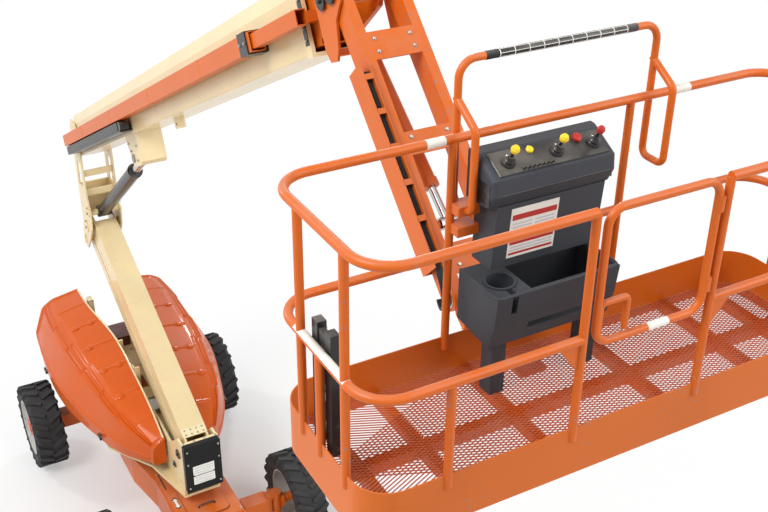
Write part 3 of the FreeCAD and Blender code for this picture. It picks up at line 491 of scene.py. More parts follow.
class Shape:
    """A mesh under construction, in a boom's own axes or in the frame."""

    def __init__(self, axes: Matrix | None = None) -> None:
        """Start an empty mesh.

        Args:
            axes: Matrix from the mesh's own axes to the frame.
        """
        self.bm = bmesh.new()
        self.axes = axes or Matrix.Identity(4)

    def block(self, low: Point, high: Point, bevel: float = 0.003, turn: Matrix | None = None) -> "Shape":
        """Add a block with bevelled edges.

        Args:
            low: Lowest corner.
            high: Highest corner.
            bevel: Width of the bevel.
            turn: Extra matrix about the frame's origin.

        Returns:
            This mesh.
        """
        centre = (Vector(low) + Vector(high)) / 2
        size = Vector(high) - Vector(low)
        matrix = (turn or Matrix.Identity(4)) @ Matrix.Translation(centre) @ Matrix.Diagonal((*size, 1.0))
        verts = bmesh.ops.create_cube(self.bm, size=1.0, matrix=matrix)["verts"]
        if bevel:
            edges = list({e for v in verts for e in v.link_edges})
            width = min(bevel, min(size) * 0.45)
            bmesh.ops.bevel(self.bm, geom=edges, offset=width, segments=1, affect="EDGES")
        return self

    def turned(self, profile: list[tuple[float, float]], start: Point, axis: Point, steps: int = 24,
               ring: bool = False) -> "Shape":
        """Add a turned form from (distance along the axis, radius) pairs.

        Args:
            profile: The outline, from one end to the other. A radius of 0 closes the form.
            start: Point on the axis where distance is 0.
            axis: Direction of the axis.
            steps: Number of sides.
            ring: True where the outline closes on itself and leaves the middle open.

        Returns:
            This mesh.
        """
        frame = Vector(axis).to_track_quat("Z", "Y").to_matrix().to_4x4()
        frame.translation = Vector(start)
        rings = []
        for distance, radius in profile:
            if radius <= 0.0:
                rings.append([self.bm.verts.new(frame @ Vector((0, 0, distance)))])
                continue
            rings.append([
                self.bm.verts.new(frame @ Vector((radius * math.cos(a), radius * math.sin(a), distance)))
                for a in (2 * math.pi * k / steps for k in range(steps))])
        for near, far in zip(rings[:-1] + rings[-1:] * ring, rings[1:] + rings[:1] * ring):
            for k in range(steps):
                quad = [near[k % len(near)], near[(k + 1) % len(near)], far[(k + 1) % len(far)],
                        far[k % len(far)]]
                unique = list(dict.fromkeys(quad))
                if len(unique) > 2:
                    self.bm.faces.new(unique)
        for last in (rings[0], rings[-1]):
            if len(last) > 2 and not ring:
                self.bm.faces.new(last)
        return self

    def bolt(self, place: Point, axis: Point, size: float = 0.011) -> "Shape":
        """Add a hexagon bolt head on its washer, seated at a place.

        Args:
            place: Where it sits.
            axis: Its outward direction.
            size: Radius of the head.

        Returns:
            This mesh.
        """
        self.turned([(-0.001, 0), (-0.001, size * 1.25), (0.0025, size * 1.25), (0.0025, 0)], place, axis, 16)
        head = Vector(place) + Vector(axis).normalized() * 0.0024
        return self.turned([(0, 0), (0, size), (size * 0.72, size), (size * 0.85, size * 0.84),
                            (size * 0.85, 0)],
                           tuple(head), axis, 6)

    def pipe(self, points: list[Point], radius: float, steps: int = 12, closed: bool = False) -> "Shape":
        """Add a round tube through points.

        Args:
            points: Centre line, close enough together for its bends.
            radius: Radius of the tube.
            steps: Number of sides.
            closed: True where the end joins the start.

        Returns:
            This mesh.
        """
        line = [Vector(p) for p in points]
        count = len(line)
        rings = []
        side: Vector | None = None
        for i, here in enumerate(line):
            before = line[i - 1] if i or closed else here
            after = line[(i + 1) % count] if i < count - 1 or closed else here
            heading = (after - before).normalized()
            if side is None:
                side = heading.orthogonal().normalized()
            side = (side - heading * side.dot(heading)).normalized()
            other = heading.cross(side)
            rings.append([
                self.bm.verts.new(here + (side * math.cos(a) + other * math.sin(a)) * radius)
                for a in (2 * math.pi * k / steps for k in range(steps))])
        pairs = list(zip(rings[:-1], rings[1:])) + ([(rings[-1], rings[0])] if closed else [])
        for near, far in pairs:
            for k in range(steps):
                self.bm.faces.new([near[k], near[(k + 1) % steps], far[(k + 1) % steps], far[k]])
        if not closed:
            self.bm.faces.new(rings[0])
            self.bm.faces.new(rings[-1])
        return self

    def plate(self, outline: list[Point], thickness: Point) -> "Shape":
        """Add a flat plate from its outline and a thickness vector.

        Args:
            outline: Its corner points.
            thickness: Direction and depth of the plate.

        Returns:
            This mesh.
        """
        push = Vector(thickness)
        near = [self.bm.verts.new(Vector(p)) for p in outline]
        far = [self.bm.verts.new(Vector(p) + push) for p in outline]
        self.bm.faces.new(near)
        self.bm.faces.new(far[::-1])
        for k in range(len(near)):
            j = (k + 1) % len(near)
            self.bm.faces.new([near[j], near[k], far[k], far[j]])
        return self

    def piece(self, name: str, finish: Enamel | Matter, body: Body | str, slot: Slot,
              smooth: float = 35.0) -> bpy.types.Object:
        """Turn the mesh into a piece that rides on a body.

        Args:
            name: Name of the piece.
            finish: Its finish.
            body: The body that carries it.
            slot: The record's material slot; not used.
            smooth: Edges flatter than this many degrees are smoothed.

        Returns:
            The new object.
        """
        bmesh.ops.transform(self.bm, matrix=self.axes, verts=self.bm.verts)
        bmesh.ops.recalc_face_normals(self.bm, faces=self.bm.faces)
        limit = math.radians(smooth)
        for face in self.bm.faces:
            face.smooth = True
        for edge in self.bm.edges:
            if len(edge.link_faces) == 2 and edge.calc_face_angle(0.0) > limit:
                edge.smooth = False
        mesh = bpy.data.meshes.new(name)
        self.bm.to_mesh(mesh)
        self.bm.free()
        mesh.materials.append(finish.build())
        obj = bpy.data.objects.new(name, mesh)
        bpy.context.scene.collection.objects.link(obj)
        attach(obj, body.value if isinstance(body, Body) else body)
        LOG.info("piece %s on %s: %d faces", name, body, len(mesh.polygons))
        return obj


def fillet_line(corners: list[Point], bend: float, steps: int = 6) -> list[Point]:
    """Round the corners of a rigid tube's centre line.

    Args:
        corners: Its corner points, open at both ends.
        bend: Distance from a corner where its bend starts.
        steps: Points in each bend.

    Returns:
        The rounded line's points.
    """
    line = [Vector(p) for p in corners]
    out = [line[0]]
    for before, here, after in zip(line[:-2], line[1:-1], line[2:]):
        start = here + (before - here).normalized() * bend
        end = here + (after - here).normalized() * bend
        for k in range(steps + 1):
            t = k / steps
            out.append(start * (1 - t) ** 2 + here * 2 * t * (1 - t) + end * t ** 2)
    out.append(line[-1])
    return [tuple(p) for p in out]


def hose(name: str, points: list[Point], diameter: float, body: Body) -> bpy.types.Object:
    """Args:
        name: Name of the hose.
        points: Control points of its spline, from the exit.
        diameter: Outside diameter.
        body: The body that carries it.

    Returns:
        The curve object.
    """
    curve = bpy.data.curves.new(name, "CURVE")
    curve.dimensions = "3D"
    curve.bevel_depth = diameter / 2
    curve.bevel_resolution = 4
    curve.resolution_u = 12
    curve.use_fill_caps = True
    spline = curve.splines.new("NURBS")
    spline.points.add(len(points) - 1)
    for control, place in zip(spline.points, points):
        control.co = (*place, 1.0)
    spline.order_u = 3
    spline.use_endpoint_u = True
    curve.materials.append(RUBBER.build())
    obj = bpy.data.objects.new(name, curve)
    bpy.context.scene.collection.objects.link(obj)
    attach(obj, body.value)
    length = curve_length(obj)
    LOG.info("hose %s: %.3f m", name, length)
    return obj


def curve_length(obj: bpy.types.Object) -> float:
    """Measure a hose's centre line from its spline, read with no bevel.

    Args:
        obj: The hose.

    Returns:
        The length in metres.
    """
    curve = obj.data
    depth, curve.bevel_depth = curve.bevel_depth, 0.0
    bpy.context.view_layer.update()
    mesh = bpy.data.meshes.new_from_object(obj)
    places = [v.co.copy() for v in mesh.vertices]
    curve.bevel_depth = depth
    bpy.data.meshes.remove(mesh)
    return sum((b - a).length for a, b in zip(places[:-1], places[1:]))


# Camera, floor and light


@dataclass
class Studio:
    """Pale floor, soft light and the camera at the photograph's view.

    Attributes:
        eye: Camera position.
        right: The image's right direction.
        down: The image's down direction.
        focal: Focal length in image widths.
        shift_x: Sideways shift in image widths.
        shift_y: Upward shift in image widths.
        sensor: Sensor width in millimetres.
    """

    eye: Point = (9.662, -2.594, 8.686)
    right: Point = (0.4831, 0.8755, 0.0081)
    down: Point = (0.4349, -0.2319, -0.8701)
    focal: float = 1106.9 / 768.0
    shift_x: float = 0.0014
    shift_y: float = -0.0074
    sensor: float = 36.0

    def camera(self) -> None:
        """Create the camera and make it the scene's."""
        data = bpy.data.cameras.new("camera")
        data.sensor_width = self.sensor
        data.lens = self.focal * self.sensor
        data.shift_x, data.shift_y = self.shift_x, self.shift_y
        data.clip_end = 200.0
        right = Vector(self.right).normalized()
        up = -Vector(self.down).normalized()
        back = right.cross(up).normalized()
        up = back.cross(right)
        matrix = Matrix((right, up, back)).transposed().to_4x4()
        matrix.translation = Vector(self.eye)
        camera = bpy.data.objects.new("camera", data)
        camera.matrix_world = matrix
        bpy.context.scene.collection.objects.link(camera)
        bpy.context.scene.camera = camera

    def seen(self, tree: bpy.types.NodeTree) -> bpy.types.NodeSocket:
        """Give 1 for camera, glossy and transmission rays, which see the plain white background.

        Args:
            tree: The node tree to add to.

        Returns:
            The mask's socket.
        """
        path = tree.nodes.new("ShaderNodeLightPath").outputs
        total = path["Is Camera Ray"]
        for label in ("Is Glossy Ray", "Is Transmission Ray"):
            node = tree.nodes.new("ShaderNodeMath")
            node.operation = "MAXIMUM"
            tree.links.new(total, node.inputs[0])
            tree.links.new(path[label], node.inputs[1])
            total = node.outputs["Value"]
        return total

    def floor(self) -> None:
        """Create the pale floor."""
        mesh = bpy.data.meshes.new("floor")
        half = 60.0
        mesh.from_pydata([(-half, -half, 0), (half, -half, 0), (half, half, 0), (-half, half, 0)], [],
                         [(0, 1, 2, 3)])
        mat = bpy.data.materials.new("pale_floor")
        mat.use_nodes = True
        tree = mat.node_tree
        shader = tree.nodes["Principled BSDF"]
        shader.inputs["Base Color"].default_value = (0.86, 0.86, 0.86, 1.0)
        shader.inputs["Roughness"].default_value = 0.9
        shader.inputs["Specular IOR Level"].default_value = 0.1
        white = tree.nodes.new("ShaderNodeEmission")
        place = tree.nodes.new("ShaderNodeTexCoord").outputs["Object"]
        reach = tree.nodes.new("ShaderNodeVectorMath")
        reach.operation = "DISTANCE"
        reach.inputs[1].default_value = (2.5, 0.0, 0.0)
        tree.links.new(place, reach.inputs[0])
        far = _ramp(tree, reach.outputs["Value"], 2.0, 6.5)
        blend = tree.nodes.new("ShaderNodeMixShader")
        tree.links.new(_multiply(tree, far, self.seen(tree)), blend.inputs[0])
        tree.links.new(shader.outputs[0], blend.inputs[1])
        tree.links.new(white.outputs[0], blend.inputs[2])
        tree.links.new(blend.outputs[0], tree.nodes["Material Output"].inputs["Surface"])
        mesh.materials.append(mat)
        floor = bpy.data.objects.new("floor", mesh)
        bpy.context.scene.collection.objects.link(floor)

    def lights(self) -> None:
        """Create the soft key and fill lamps and the pale world."""
        for name, place, size, power in (
            ("key", (6.0, -12.0, 18.0), 9.0, 2600.0),
            ("fill", (14.0, 8.0, 12.0), 10.0, 1100.0),
            ("rear", (-12.0, 9.0, 9.0), 2.2, 620.0),
            ("rear_right", (-12.0, -9.0, 11.0), 1.6, 620.0),
        ):
            data = bpy.data.lights.new(name, "AREA")
            data.size = size
            data.energy = power
            lamp = bpy.data.objects.new(name, data)
            lamp.location = place
            aim = Vector((1.5, 0.0, 3.0)) - Vector(place)
            lamp.rotation_euler = aim.to_track_quat("-Z", "Y").to_euler()
            bpy.context.scene.collection.objects.link(lamp)
        world = bpy.data.worlds.new("studio")
        world.use_nodes = True
        tree = world.node_tree
        background = tree.nodes["Background"]
        background.inputs["Color"].default_value = (0.95, 0.95, 0.94, 1.0)
        background.inputs["Strength"].default_value = 0.55
        white = tree.nodes.new("ShaderNodeBackground")
        white.inputs["Color"].default_value = (1.0, 1.0, 1.0, 1.0)
        blend = tree.nodes.new("ShaderNodeMixShader")
        tree.links.new(self.seen(tree), blend.inputs[0])
        tree.links.new(background.outputs[0], blend.inputs[1])
        tree.links.new(white.outputs[0], blend.inputs[2])
        tree.links.new(blend.outputs[0], tree.nodes["World Output"].inputs["Surface"])
        bpy.context.scene.world = world


# Dressed sub-assemblies


@dataclass
class Frame:
    """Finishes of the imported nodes.

    Attributes:
        own: Finishes of the nodes that leave their slot's own.
    """

    own: dict[str,
              Enamel] = field(default_factory=lambda: {"toe_boards": TOE_ORANGE, "pivot_cover": GLOSS_BLACK})

    def finish_nodes(self, frame: dict) -> None:
        """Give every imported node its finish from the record's slot.
        """
        slots = {part["node"]: Slot(part["material_slot"]) for part in frame["record"]["subparts"]}
        for name, node in frame["nodes"].items():
            finish = self.own.get(name, SLOT_FINISH[slots[name]])
            node.data.materials.clear()
            node.data.materials.append(finish.build())
        LOG.info("finished %d nodes", len(frame["nodes"]))


@dataclass
class Wheels:
    """Rim bolts, hub caps, sidewall rings and rim lips of the four wheels.

    Attributes:
        axle_x: Half of the wheelbase.
        track_y: Distance from the middle plane to a wheel's centre.
        radius: Tyre radius.
        dish_y: Outward distance of the dish from the wheel's centre.
        bolt_circle: Radius of the bolt circle.
        bolts: Bolts in a wheel.
        hub_y: Outward distance of the hub's end from the wheel's centre.
        hub_radius: Radius of the hub's cap.
        half_width: Half of the tyre's width.
    """

    axle_x: float = 1.25
    track_y: float = 1.0525
    radius: float = 0.49
    dish_y: float = 0.0775
    hub_y: float = 0.1455
    hub_radius: float = 0.105
    bolt_circle: float = 0.165
    bolts: int = 9
    half_width: float = 0.1775

    def dress(self) -> None:
        """Build the details of all four wheels."""
        for end, sign in (("front", 1), ("rear", -1)):
            for hand, side in (("left", 1), ("right", -1)):
                self.wheel(f"{end}_{hand}", sign * self.axle_x, side)

    def wheel(self, name: str, x: float, side: int) -> None:
        """Build one wheel's details.

        Args:
            name: Which wheel.
            x: X of its axle.
            side: 1 on the left, -1 on the right.
        """
        body = "wheel_" + name
        out = (0.0, float(side), 0.0)
        centre = Vector((x, side * self.track_y, self.radius))
        face = centre + Vector(out) * self.dish_y
        studs = Shape()
        for k in range(self.bolts):
            angle = 2 * math.pi * (k + 0.5) / self.bolts
            spot = face + Vector((math.cos(angle), 0, math.sin(angle))) * self.bolt_circle
            studs.bolt(tuple(spot), out, 0.016)
        studs.piece(f"bolts_{name}", ZINC, body, Slot.STEEL)
        hub = Shape()
        end = centre + Vector(out) * self.hub_y
        hub.turned([(-0.062, self.hub_radius + 0.004), (-0.008, self.hub_radius + 0.004),
                    (0.003, self.hub_radius - 0.006),
                    (0.003, self.hub_radius * 0.62), (0.012, self.hub_radius * 0.56), (0.012, 0.0)],
                    tuple(end), out, 40)
        for k in range(6):
            angle = 2 * math.pi * k / 6
            spot = end + Vector(out) * 0.003 + Vector((math.cos(angle), 0,
                                                       math.sin(angle))) * self.hub_radius * 0.8
            hub.bolt(tuple(spot), out, 0.008)
        hub.piece(f"hub_cap_{name}", HUB_RED, body, Slot.ORANGE)
        rings = Shape()
        for reach, radius in ((self.half_width - 0.007, 0.40), (self.half_width - 0.012, 0.345)):
            rings.turned([(-0.006, radius - 0.014), (0.003, radius - 0.008), (0.003, radius + 0.008),
                          (-0.006, radius + 0.014)],
                         tuple(centre + Vector(out) * reach), out, 72, ring=True)
        rings.piece(f"sidewall_rings_{name}", TYRE, body, Slot.RUBBER)
        lip = Shape()
        lip.turned([(-0.008, 0.298), (0.004, 0.300), (0.014, 0.309), (0.012, 0.324), (-0.006, 0.327)],
                   tuple(centre + Vector(out) * (self.half_width - 0.026)), out, 72, ring=True)
        lip.piece(f"rim_lip_{name}", RIM_GREY, body, Slot.SILVER)


@dataclass
class Hood:
    """Moulded hood over one side of the turntable: a smooth shell with a raised panel, ribs and fasteners.

    Attributes:
        side: 1 on the left, -1 on the right.
        sections: x, outer edge, shoulder, shoulder height, inner edge, its height and skirt height.
        step: Height of the raised panel.
        ribs: x of the cross ribs.
        wall: Thickness of the shell.
        panel_edge: Share of the outline where the raised panel starts.
        across: Faces across the shell.
        lengthways: Faces along the shell.
    """

    side: int
    sections: tuple[tuple[float, ...], ...] = (
        (-1.96, 0.840, 0.690, 1.600, 0.290, 1.740, 1.110),
        (-1.45, 0.900, 0.710, 1.630, 0.290, 1.785, 1.090),
        (-0.70, 0.890, 0.700, 1.630, 0.215, 1.785, 1.075),
        (0.00, 0.740, 0.610, 1.580, 0.215, 1.720, 1.085),
        (0.48, 0.585, 0.500, 1.500, 0.215, 1.615, 1.110),
        (0.88, 0.345, 0.290, 1.370, 0.215, 1.450, 1.160))
    step: float = 0.019
    ribs: tuple[float, ...] = (-1.56, -1.12, -0.68, -0.24, 0.20, 0.58)
    wall: float = 0.012
    panel_edge: float = 0.585
    across: int = 110
    lengthways: int = 250

    def section(self, x: float) -> list[float]:
        """Interpolate the section's sizes at x with a smooth curve.

        Args:
            x: X along the machine.

        Returns:
            The section's sizes at x.
        """
        rows = self.sections
        i = max(0, min(len(rows) - 2, sum(1 for r in rows if r[0] <= x) - 1))
        p0, p1, p2, p3 = rows[max(i - 1, 0)], rows[i], rows[i + 1], rows[min(i + 2, len(rows) - 1)]
        t = (x - p1[0]) / (p2[0] - p1[0])
        out = []
        for k in range(1, 7):
            m1 = (p2[k] - p0[k]) / (p2[0] - p0[0]) * (p2[0] - p1[0])
            m2 = (p3[k] - p1[k]) / (p3[0] - p1[0]) * (p2[0] - p1[0])
            out.append((2 * t ** 3 - 3 * t ** 2 + 1) * p1[k] + (t ** 3 - 2 * t ** 2 + t) * m1
                       + (-2 * t ** 3 + 3 * t ** 2) * p2[k] + (t ** 3 - t ** 2) * m2)
        return out

    def profile(self, x: float) -> list[Vector]:
        """Points of the outline at x, evenly spaced from the skirt to the inner edge.

        Args:
            x: X along the machine.

        Returns:
            Points on the left hood's outside.
        """
        outer, shoulder, shoulder_z, inner, inner_z, skirt_z = self.section(x)
        knee = skirt_z + 0.35 * (shoulder_z - skirt_z)
        crown = inner + 0.8 * (shoulder - inner)
        corners = [(x, outer, skirt_z), (x, outer + 0.012, knee), (x, shoulder + 0.045, shoulder_z),
                   (x, crown, shoulder_z + 0.6 * (inner_z - shoulder_z)), (x, inner, inner_z)]
        line = [Vector(p) for p in fillet_line(corners, 0.045, 8)]
        lengths = [0.0]
        for a, b in zip(line[:-1], line[1:]):
            lengths.append(lengths[-1] + (b - a).length)
        out, j = [], 0
        for k in range(self.across + 1):
            want = lengths[-1] * k / self.across
            while j < len(line) - 2 and lengths[j + 1] < want:
                j += 1
            t = (want - lengths[j]) / max(lengths[j + 1] - lengths[j], 1e-9)
            out.append(line[j].lerp(line[j + 1], t))
        return out

    def relief(self, x: float, share: float) -> float:
        """Height of the moulded relief at x and at a share of the outline.

        Args:
            x: X along the machine.
            share: Share of the outline, from the skirt to the inner edge.

        Returns:
            Height in metres.
        """
        def rise(value: float, start: float, width: float) -> float:
            """Give a smooth step from 0 to 1.

            Args:
                value: The value.
                start: Where it starts to rise.
                width: Width over which it rises.

            Returns:
                A share between 0 and 1.
            """
            t = max(0.0, min(1.0, (value - start) / width))
            return t * t * (3 - 2 * t)
        ends = rise(x, -1.925, 0.02) * (1 - rise(x, 0.82, 0.02))
        jog = sum(sign * rise(x, at, 0.05) for at,
                  sign in ((-1.40, 1), (-0.90, -1), (-0.45, 1), (0.0, -1), (0.36, 1)))
        edge = self.panel_edge + 0.035 * jog
        panel = rise(share, edge + 0.035, 0.02) * ends
        kerbs = sum(rise(share, edge - low,
                         0.012) * (1 - rise(share, edge - low + 0.022, 0.012)) for low in (0.075, 0.022))
        belt = rise(share, 0.16, 0.014) * (1 - rise(share, 0.19, 0.014)) * ends
        rib = max(0.0, 1 - min(abs(x - at) for at in self.ribs) / 0.020)
        rib *= rise(share, edge + 0.06, 0.02) * (1 - rise(share, 0.955, 0.02))
        lip = max(1 - rise(x, -1.935, 0.014), rise(x, 0.845, 0.014))
        return self.step * min(1.0,
                               0.45 * panel + kerbs * ends + 0.5 * belt + 0.55 * min(1.0,
                                                                                     1.6 * rib) * ends + 0.9 * lip)

    def surface(self, x: float, share: float) -> tuple[Vector, Vector]:
        """Place and outward direction on the shell at x and a share of the outline.

        Args:
            x: X along the machine.
            share: Share of the outline, from the skirt to the inner edge.

        Returns:
            The place and the direction.
        """
        line = self.profile(x)
        k = max(1, min(self.across - 1, round(share * self.across)))
        along = (self.profile(x + 0.01)[k] - self.profile(x - 0.01)[k]).normalized()
        normal = along.cross(line[k + 1] - line[k - 1]).normalized()
        normal = normal if normal.dot(Vector((0, 0.5, 1))) > 0 else -normal
        flip = Vector((1, self.side, 1))
        return line[k] * flip, normal * flip

    def dress(self) -> None:
        """Build the shell, its inner trim, fasteners and latch."""
        body = Body.HOOD_LEFT if self.side > 0 else Body.HOOD_RIGHT
        hand = "left" if self.side > 0 else "right"
        start, end = self.sections[0][0], self.sections[-1][0]
        rows = [self.profile(start + (end - start) * i / self.lengthways) for i in range(self.lengthways + 1)]
        shape = Shape()
        flip = Vector((1, self.side, 1))
        outer, inner = [], []
        for i, line in enumerate(rows):
            before, after = rows[max(i - 1, 0)], rows[min(i + 1, len(rows) - 1)]
            top, low = [], []
            for k, point in enumerate(line):
                along = after[k] - before[k]
                across = line[min(k + 1, self.across)] - line[max(k - 1, 0)]
                normal = along.cross(across).normalized()
                normal = normal if normal.dot(Vector((0, 0.5, 1))) > 0 else -normal
                height = self.relief(line[0].x, k / self.across)
                top.append(shape.bm.verts.new((point + normal * (height - self.step)) * flip))
                low.append(shape.bm.verts.new((point - normal * (self.wall + self.step)) * flip))
            outer.append(top)
            inner.append(low)
        for grid in (outer, inner):
            for a, b in zip(grid[:-1], grid[1:]):
                for k in range(self.across):
                    shape.bm.faces.new([a[k], a[k + 1], b[k + 1], b[k]])
        for k in (0, self.across):
            for i in range(self.lengthways):
                shape.bm.faces.new([outer[i][k], outer[i + 1][k], inner[i + 1][k], inner[i][k]])
        for i in (0, self.lengthways):
            for k in range(self.across):
                shape.bm.faces.new([outer[i][k], outer[i][k + 1], inner[i][k + 1], inner[i][k]])
            last = outer[i][self.across].co
            corner = shape.bm.verts.new((last.x, last.y, outer[i][0].co.z))
            shape.bm.faces.new(outer[i] + [corner])
        obj = shape.piece(f"hood_shell_{hand}", HOOD_ORANGE, body, Slot.ORANGE, 50.0)
        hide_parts(f"hood_{hand}")
        caps = Shape()
        dome = [(-0.024, 0.044), (-0.004, 0.044), (-0.001, 0.040), (0.003, 0.030), (0.006, 0.016),
                (0.007, 0.0)]
        for k, x in enumerate(self.ribs[1:5]):
            for share in (0.90, 0.74)[k % 2:]:
                spot, normal = self.surface(x, share)
                caps.turned(dome, tuple(spot), tuple(normal), 28)
        caps.piece(f"hood_fasteners_{hand}", HOOD_ORANGE, body, Slot.ORANGE)
        latch = Shape()
        for x in (-1.30, 0.15):
            spot, normal = self.surface(x, 0.07)
            latch.block((spot.x - 0.05, spot.y - 0.012, spot.z - 0.018),
                        (spot.x + 0.05, spot.y + 0.012, spot.z + 0.018), 0.004)
        latch.piece(f"hood_latches_{hand}", BLACK, body, Slot.BLACK)
        trim = Shape()
        edge = [tuple((self.profile(start + 0.03 + (end - start - 0.06) * i / 40)[-1] + Vector((0, 0.004,
                                                                                                -0.009))) * flip)
                for i in range(41)]
        trim.pipe(edge, 0.010, 8)
        trim.piece(f"hood_edge_{hand}", TRIM_CREAM, body, Slot.CREAM)


@dataclass
class Turntable:
    """Loop bracket, counterweight plates, pin caps, ribs, valve blocks, labels and bolts of the turntable.

    Attributes:
        plate_z: Top of the turntable's floor.
        cheek_out: Outer face of the pivot cheeks.
        weight_top: Top of the counterweight's sides.
    """

    plate_z: float = 1.0306
    cheek_out: float = 0.189
    weight_top: float = 1.5

    def dress(self) -> None:
        """Build the turntable's details."""
        loop = Shape()
        for x in (-1.62, -1.52):
            loop.block((x, -0.272, 1.49), (x + 0.012, -0.214, 1.80), 0.003)
        loop.block((-1.62, -0.272, 1.788), (-1.508, -0.214, 1.80), 0.003)
        loop.piece("hood_stay_bracket", CREAM, Body.TURNTABLE, Slot.CREAM)
        seams = Shape()
        for x in (-1.66, -1.60, -1.54, -1.48, -1.42, -1.36):
            for side in (-1, 1):
                seams.block((x, side * 0.44 - 0.20, self.weight_top),
                            (x + 0.042, side * 0.44 + 0.17, self.weight_top + 0.012), 0.006)
        seams.piece("counterweight_plates", DARK_RED, Body.TURNTABLE, Slot.DARK_RED)
        rods = Shape()
        for side in (-1, 1):
            for x in (-1.55, -1.45):
                rods.bolt((x, side * 0.52, self.weight_top + 0.012), (0, 0, 1), 0.018)
        for x in (-1.45, -1.1, -0.3, 0.35, 0.9):
            for side in (-1, 1):
                rods.bolt((x, side * 0.14, self.plate_z), (0, 0, 1), 0.014)
        rods.piece("turntable_bolts", ZINC, Body.TURNTABLE, Slot.STEEL)
        pins = Shape()
        for side in (-1, 1):
            for arm, radius in ((LOWER, 0.052), (LINK, 0.036)):
                pins.turned([(0, radius), (0.006, radius), (0.009, radius - 0.004), (0.009, 0)],
                            (arm.x, side * (self.cheek_out + 0.009), arm.z), (0, side, 0), 32)
                pins.bolt((arm.x, side * (self.cheek_out + 0.018), arm.z), (0, side, 0), 0.012)
        pins.piece("turntable_pin_caps", BLACK, Body.TURNTABLE, Slot.BLACK)
        ribs = Shape()
        for x in (-1.05, -0.5, 0.05):
            for side in (-1, 1):
                ribs.block((x, side * 0.155 - 0.01, 1.03), (x + 0.012, side * 0.155 + 0.01, 1.40), 0.002)
        ribs.piece("cheek_ribs", CREAM, Body.TURNTABLE, Slot.CREAM)
        valve = Shape()
        valve.block((0.30, -0.07, 1.03), (0.52, 0.07, 1.08), 0.006)
        valve.block((-0.30, -0.06, 1.03), (-0.10, 0.06, 1.10), 0.006)
        for x in (0.34, 0.40, 0.46):
            valve.turned([(0, 0.014), (0.03, 0.014), (0.035, 0.010), (0.035, 0)], (x, 0.0, 1.08), (0, 0, 1),
                         14)
        valve.piece("valve_blocks", STEEL, Body.TURNTABLE, Slot.STEEL)
        labels = Shape()
        face = LOWER.x + 0.1763
        for low, high in ((1.232, 1.332), (1.350, 1.458)):
            labels.plate([(face, -0.115, low), (face, 0.105, low), (face, 0.105, high), (face, -0.115, high)],
                         (0.0012, 0, 0))
        labels.piece("cover_labels", TAPE_AND_HIGHLIGHT, Body.TURNTABLE, Slot.BLACK)
        grey = Shape()
        for k in range(7):
            low = 1.246 + 0.029 * k + (0.006 if k > 2 else 0)
            grey.plate([(face, -0.10, low), (face, 0.09, low), (face, 0.09, low + 0.010),
                        (face, -0.10, low + 0.010)], (0.0017, 0, 0))
        grey.piece("cover_label_bands", LABEL_GREY, Body.TURNTABLE, Slot.BLACK)
        bolts = Shape()
        for y in (-0.165, -0.055, 0.055, 0.165):
            bolts.bolt((LOWER.x + 0.096, y, LOWER.z + 0.177), (0, 0, 1), 0.009)
        for y in (-0.16, 0.16):
            for z in (1.20, 1.50, 1.655):
                bolts.bolt((face, y, z), (1, 0, 0), 0.008)
        bolts.piece("cover_bolts", ZINC, Body.TURNTABLE, Slot.STEEL)


@dataclass
class Chassis:
    """Deck hatch, arrow mark, handle, bolts and axle details.

    Attributes:
        deck_z: Top of the front deck.
        hatch_z: Top of its hatch.
    """

    deck_z: float = 0.884
    hatch_z: float = 0.896

    def dress(self) -> None:
        """Build the chassis details."""
        half = [(0.0, 0.0), (0.040, 0.036), (0.040, 0.015), (0.130, 0.015), (0.130, 0.036), (0.170, 0.0)]
        for name, finish, grow, top in (("rim", BLACK, 1.12, 0.0004), ("face", TAPE_AND_HIGHLIGHT, 0.86, 0.0010)):
            mark = Shape()
            outline = half + [(x, -y) for x, y in half[-2:0:-1]]
            mark.plate([(1.215 + (x - 0.085) * grow, -0.258 + y * grow, self.deck_z + top) for x,
                        y in outline], (0, 0, 0.0006))
            mark.piece(f"deck_arrow_{name}", finish, Body.CHASSIS, Slot.ORANGE)
        grip = Shape()
        grip.pipe(fillet_line([(1.40, -0.085, self.hatch_z - 0.002), (1.40, -0.085, self.hatch_z + 0.03),
                               (1.40, 0.085, self.hatch_z + 0.03), (1.40, 0.085, self.hatch_z - 0.002)],
                               0.02), 0.007)
        grip.pipe(fillet_line([(1.30, -0.207, self.deck_z + 0.002),
                               (HATCH_END + 0.002, -0.207, self.deck_z + 0.002),
                               (HATCH_END + 0.002, 0.207, self.deck_z + 0.002),
                               (1.058, 0.207, self.deck_z + 0.002),
                               (1.058, -0.207, self.deck_z + 0.002), (1.32, -0.207, self.deck_z + 0.002)],
                               0.055), 0.0035, 8)
        grip.piece("hatch_handle_and_seal", BLACK, Body.CHASSIS, Slot.BLACK)
        bolts = Shape()
        for x in (0.70, 1.58):
            for y in (-0.295, 0.295):
                bolts.bolt((x, y, self.deck_z), (0, 0, 1), 0.010)
        for side in (-1, 1):
            for x in (-1.35, -1.15):
                bolts.bolt((x, side * 0.4303, 0.60), (0, side, 0), 0.014)
            for x in (1.17, 1.33):
                bolts.bolt((x, side * 0.3303, 0.60), (0, side, 0), 0.014)
        bolts.piece("chassis_bolts", ZINC, Body.CHASSIS, Slot.STEEL)
        # Black plates just under the deck slots are painted shade in the slots.
        slots = Shape()
        for y in (-0.28, 0.28):
            slots.block((0.705, y - 0.008, self.deck_z - 0.012), (0.965, y + 0.008, self.deck_z - 0.008), 0.0)
        slots.piece("deck_slot_painted_shade", BLACK, Body.CHASSIS, Slot.BLACK)


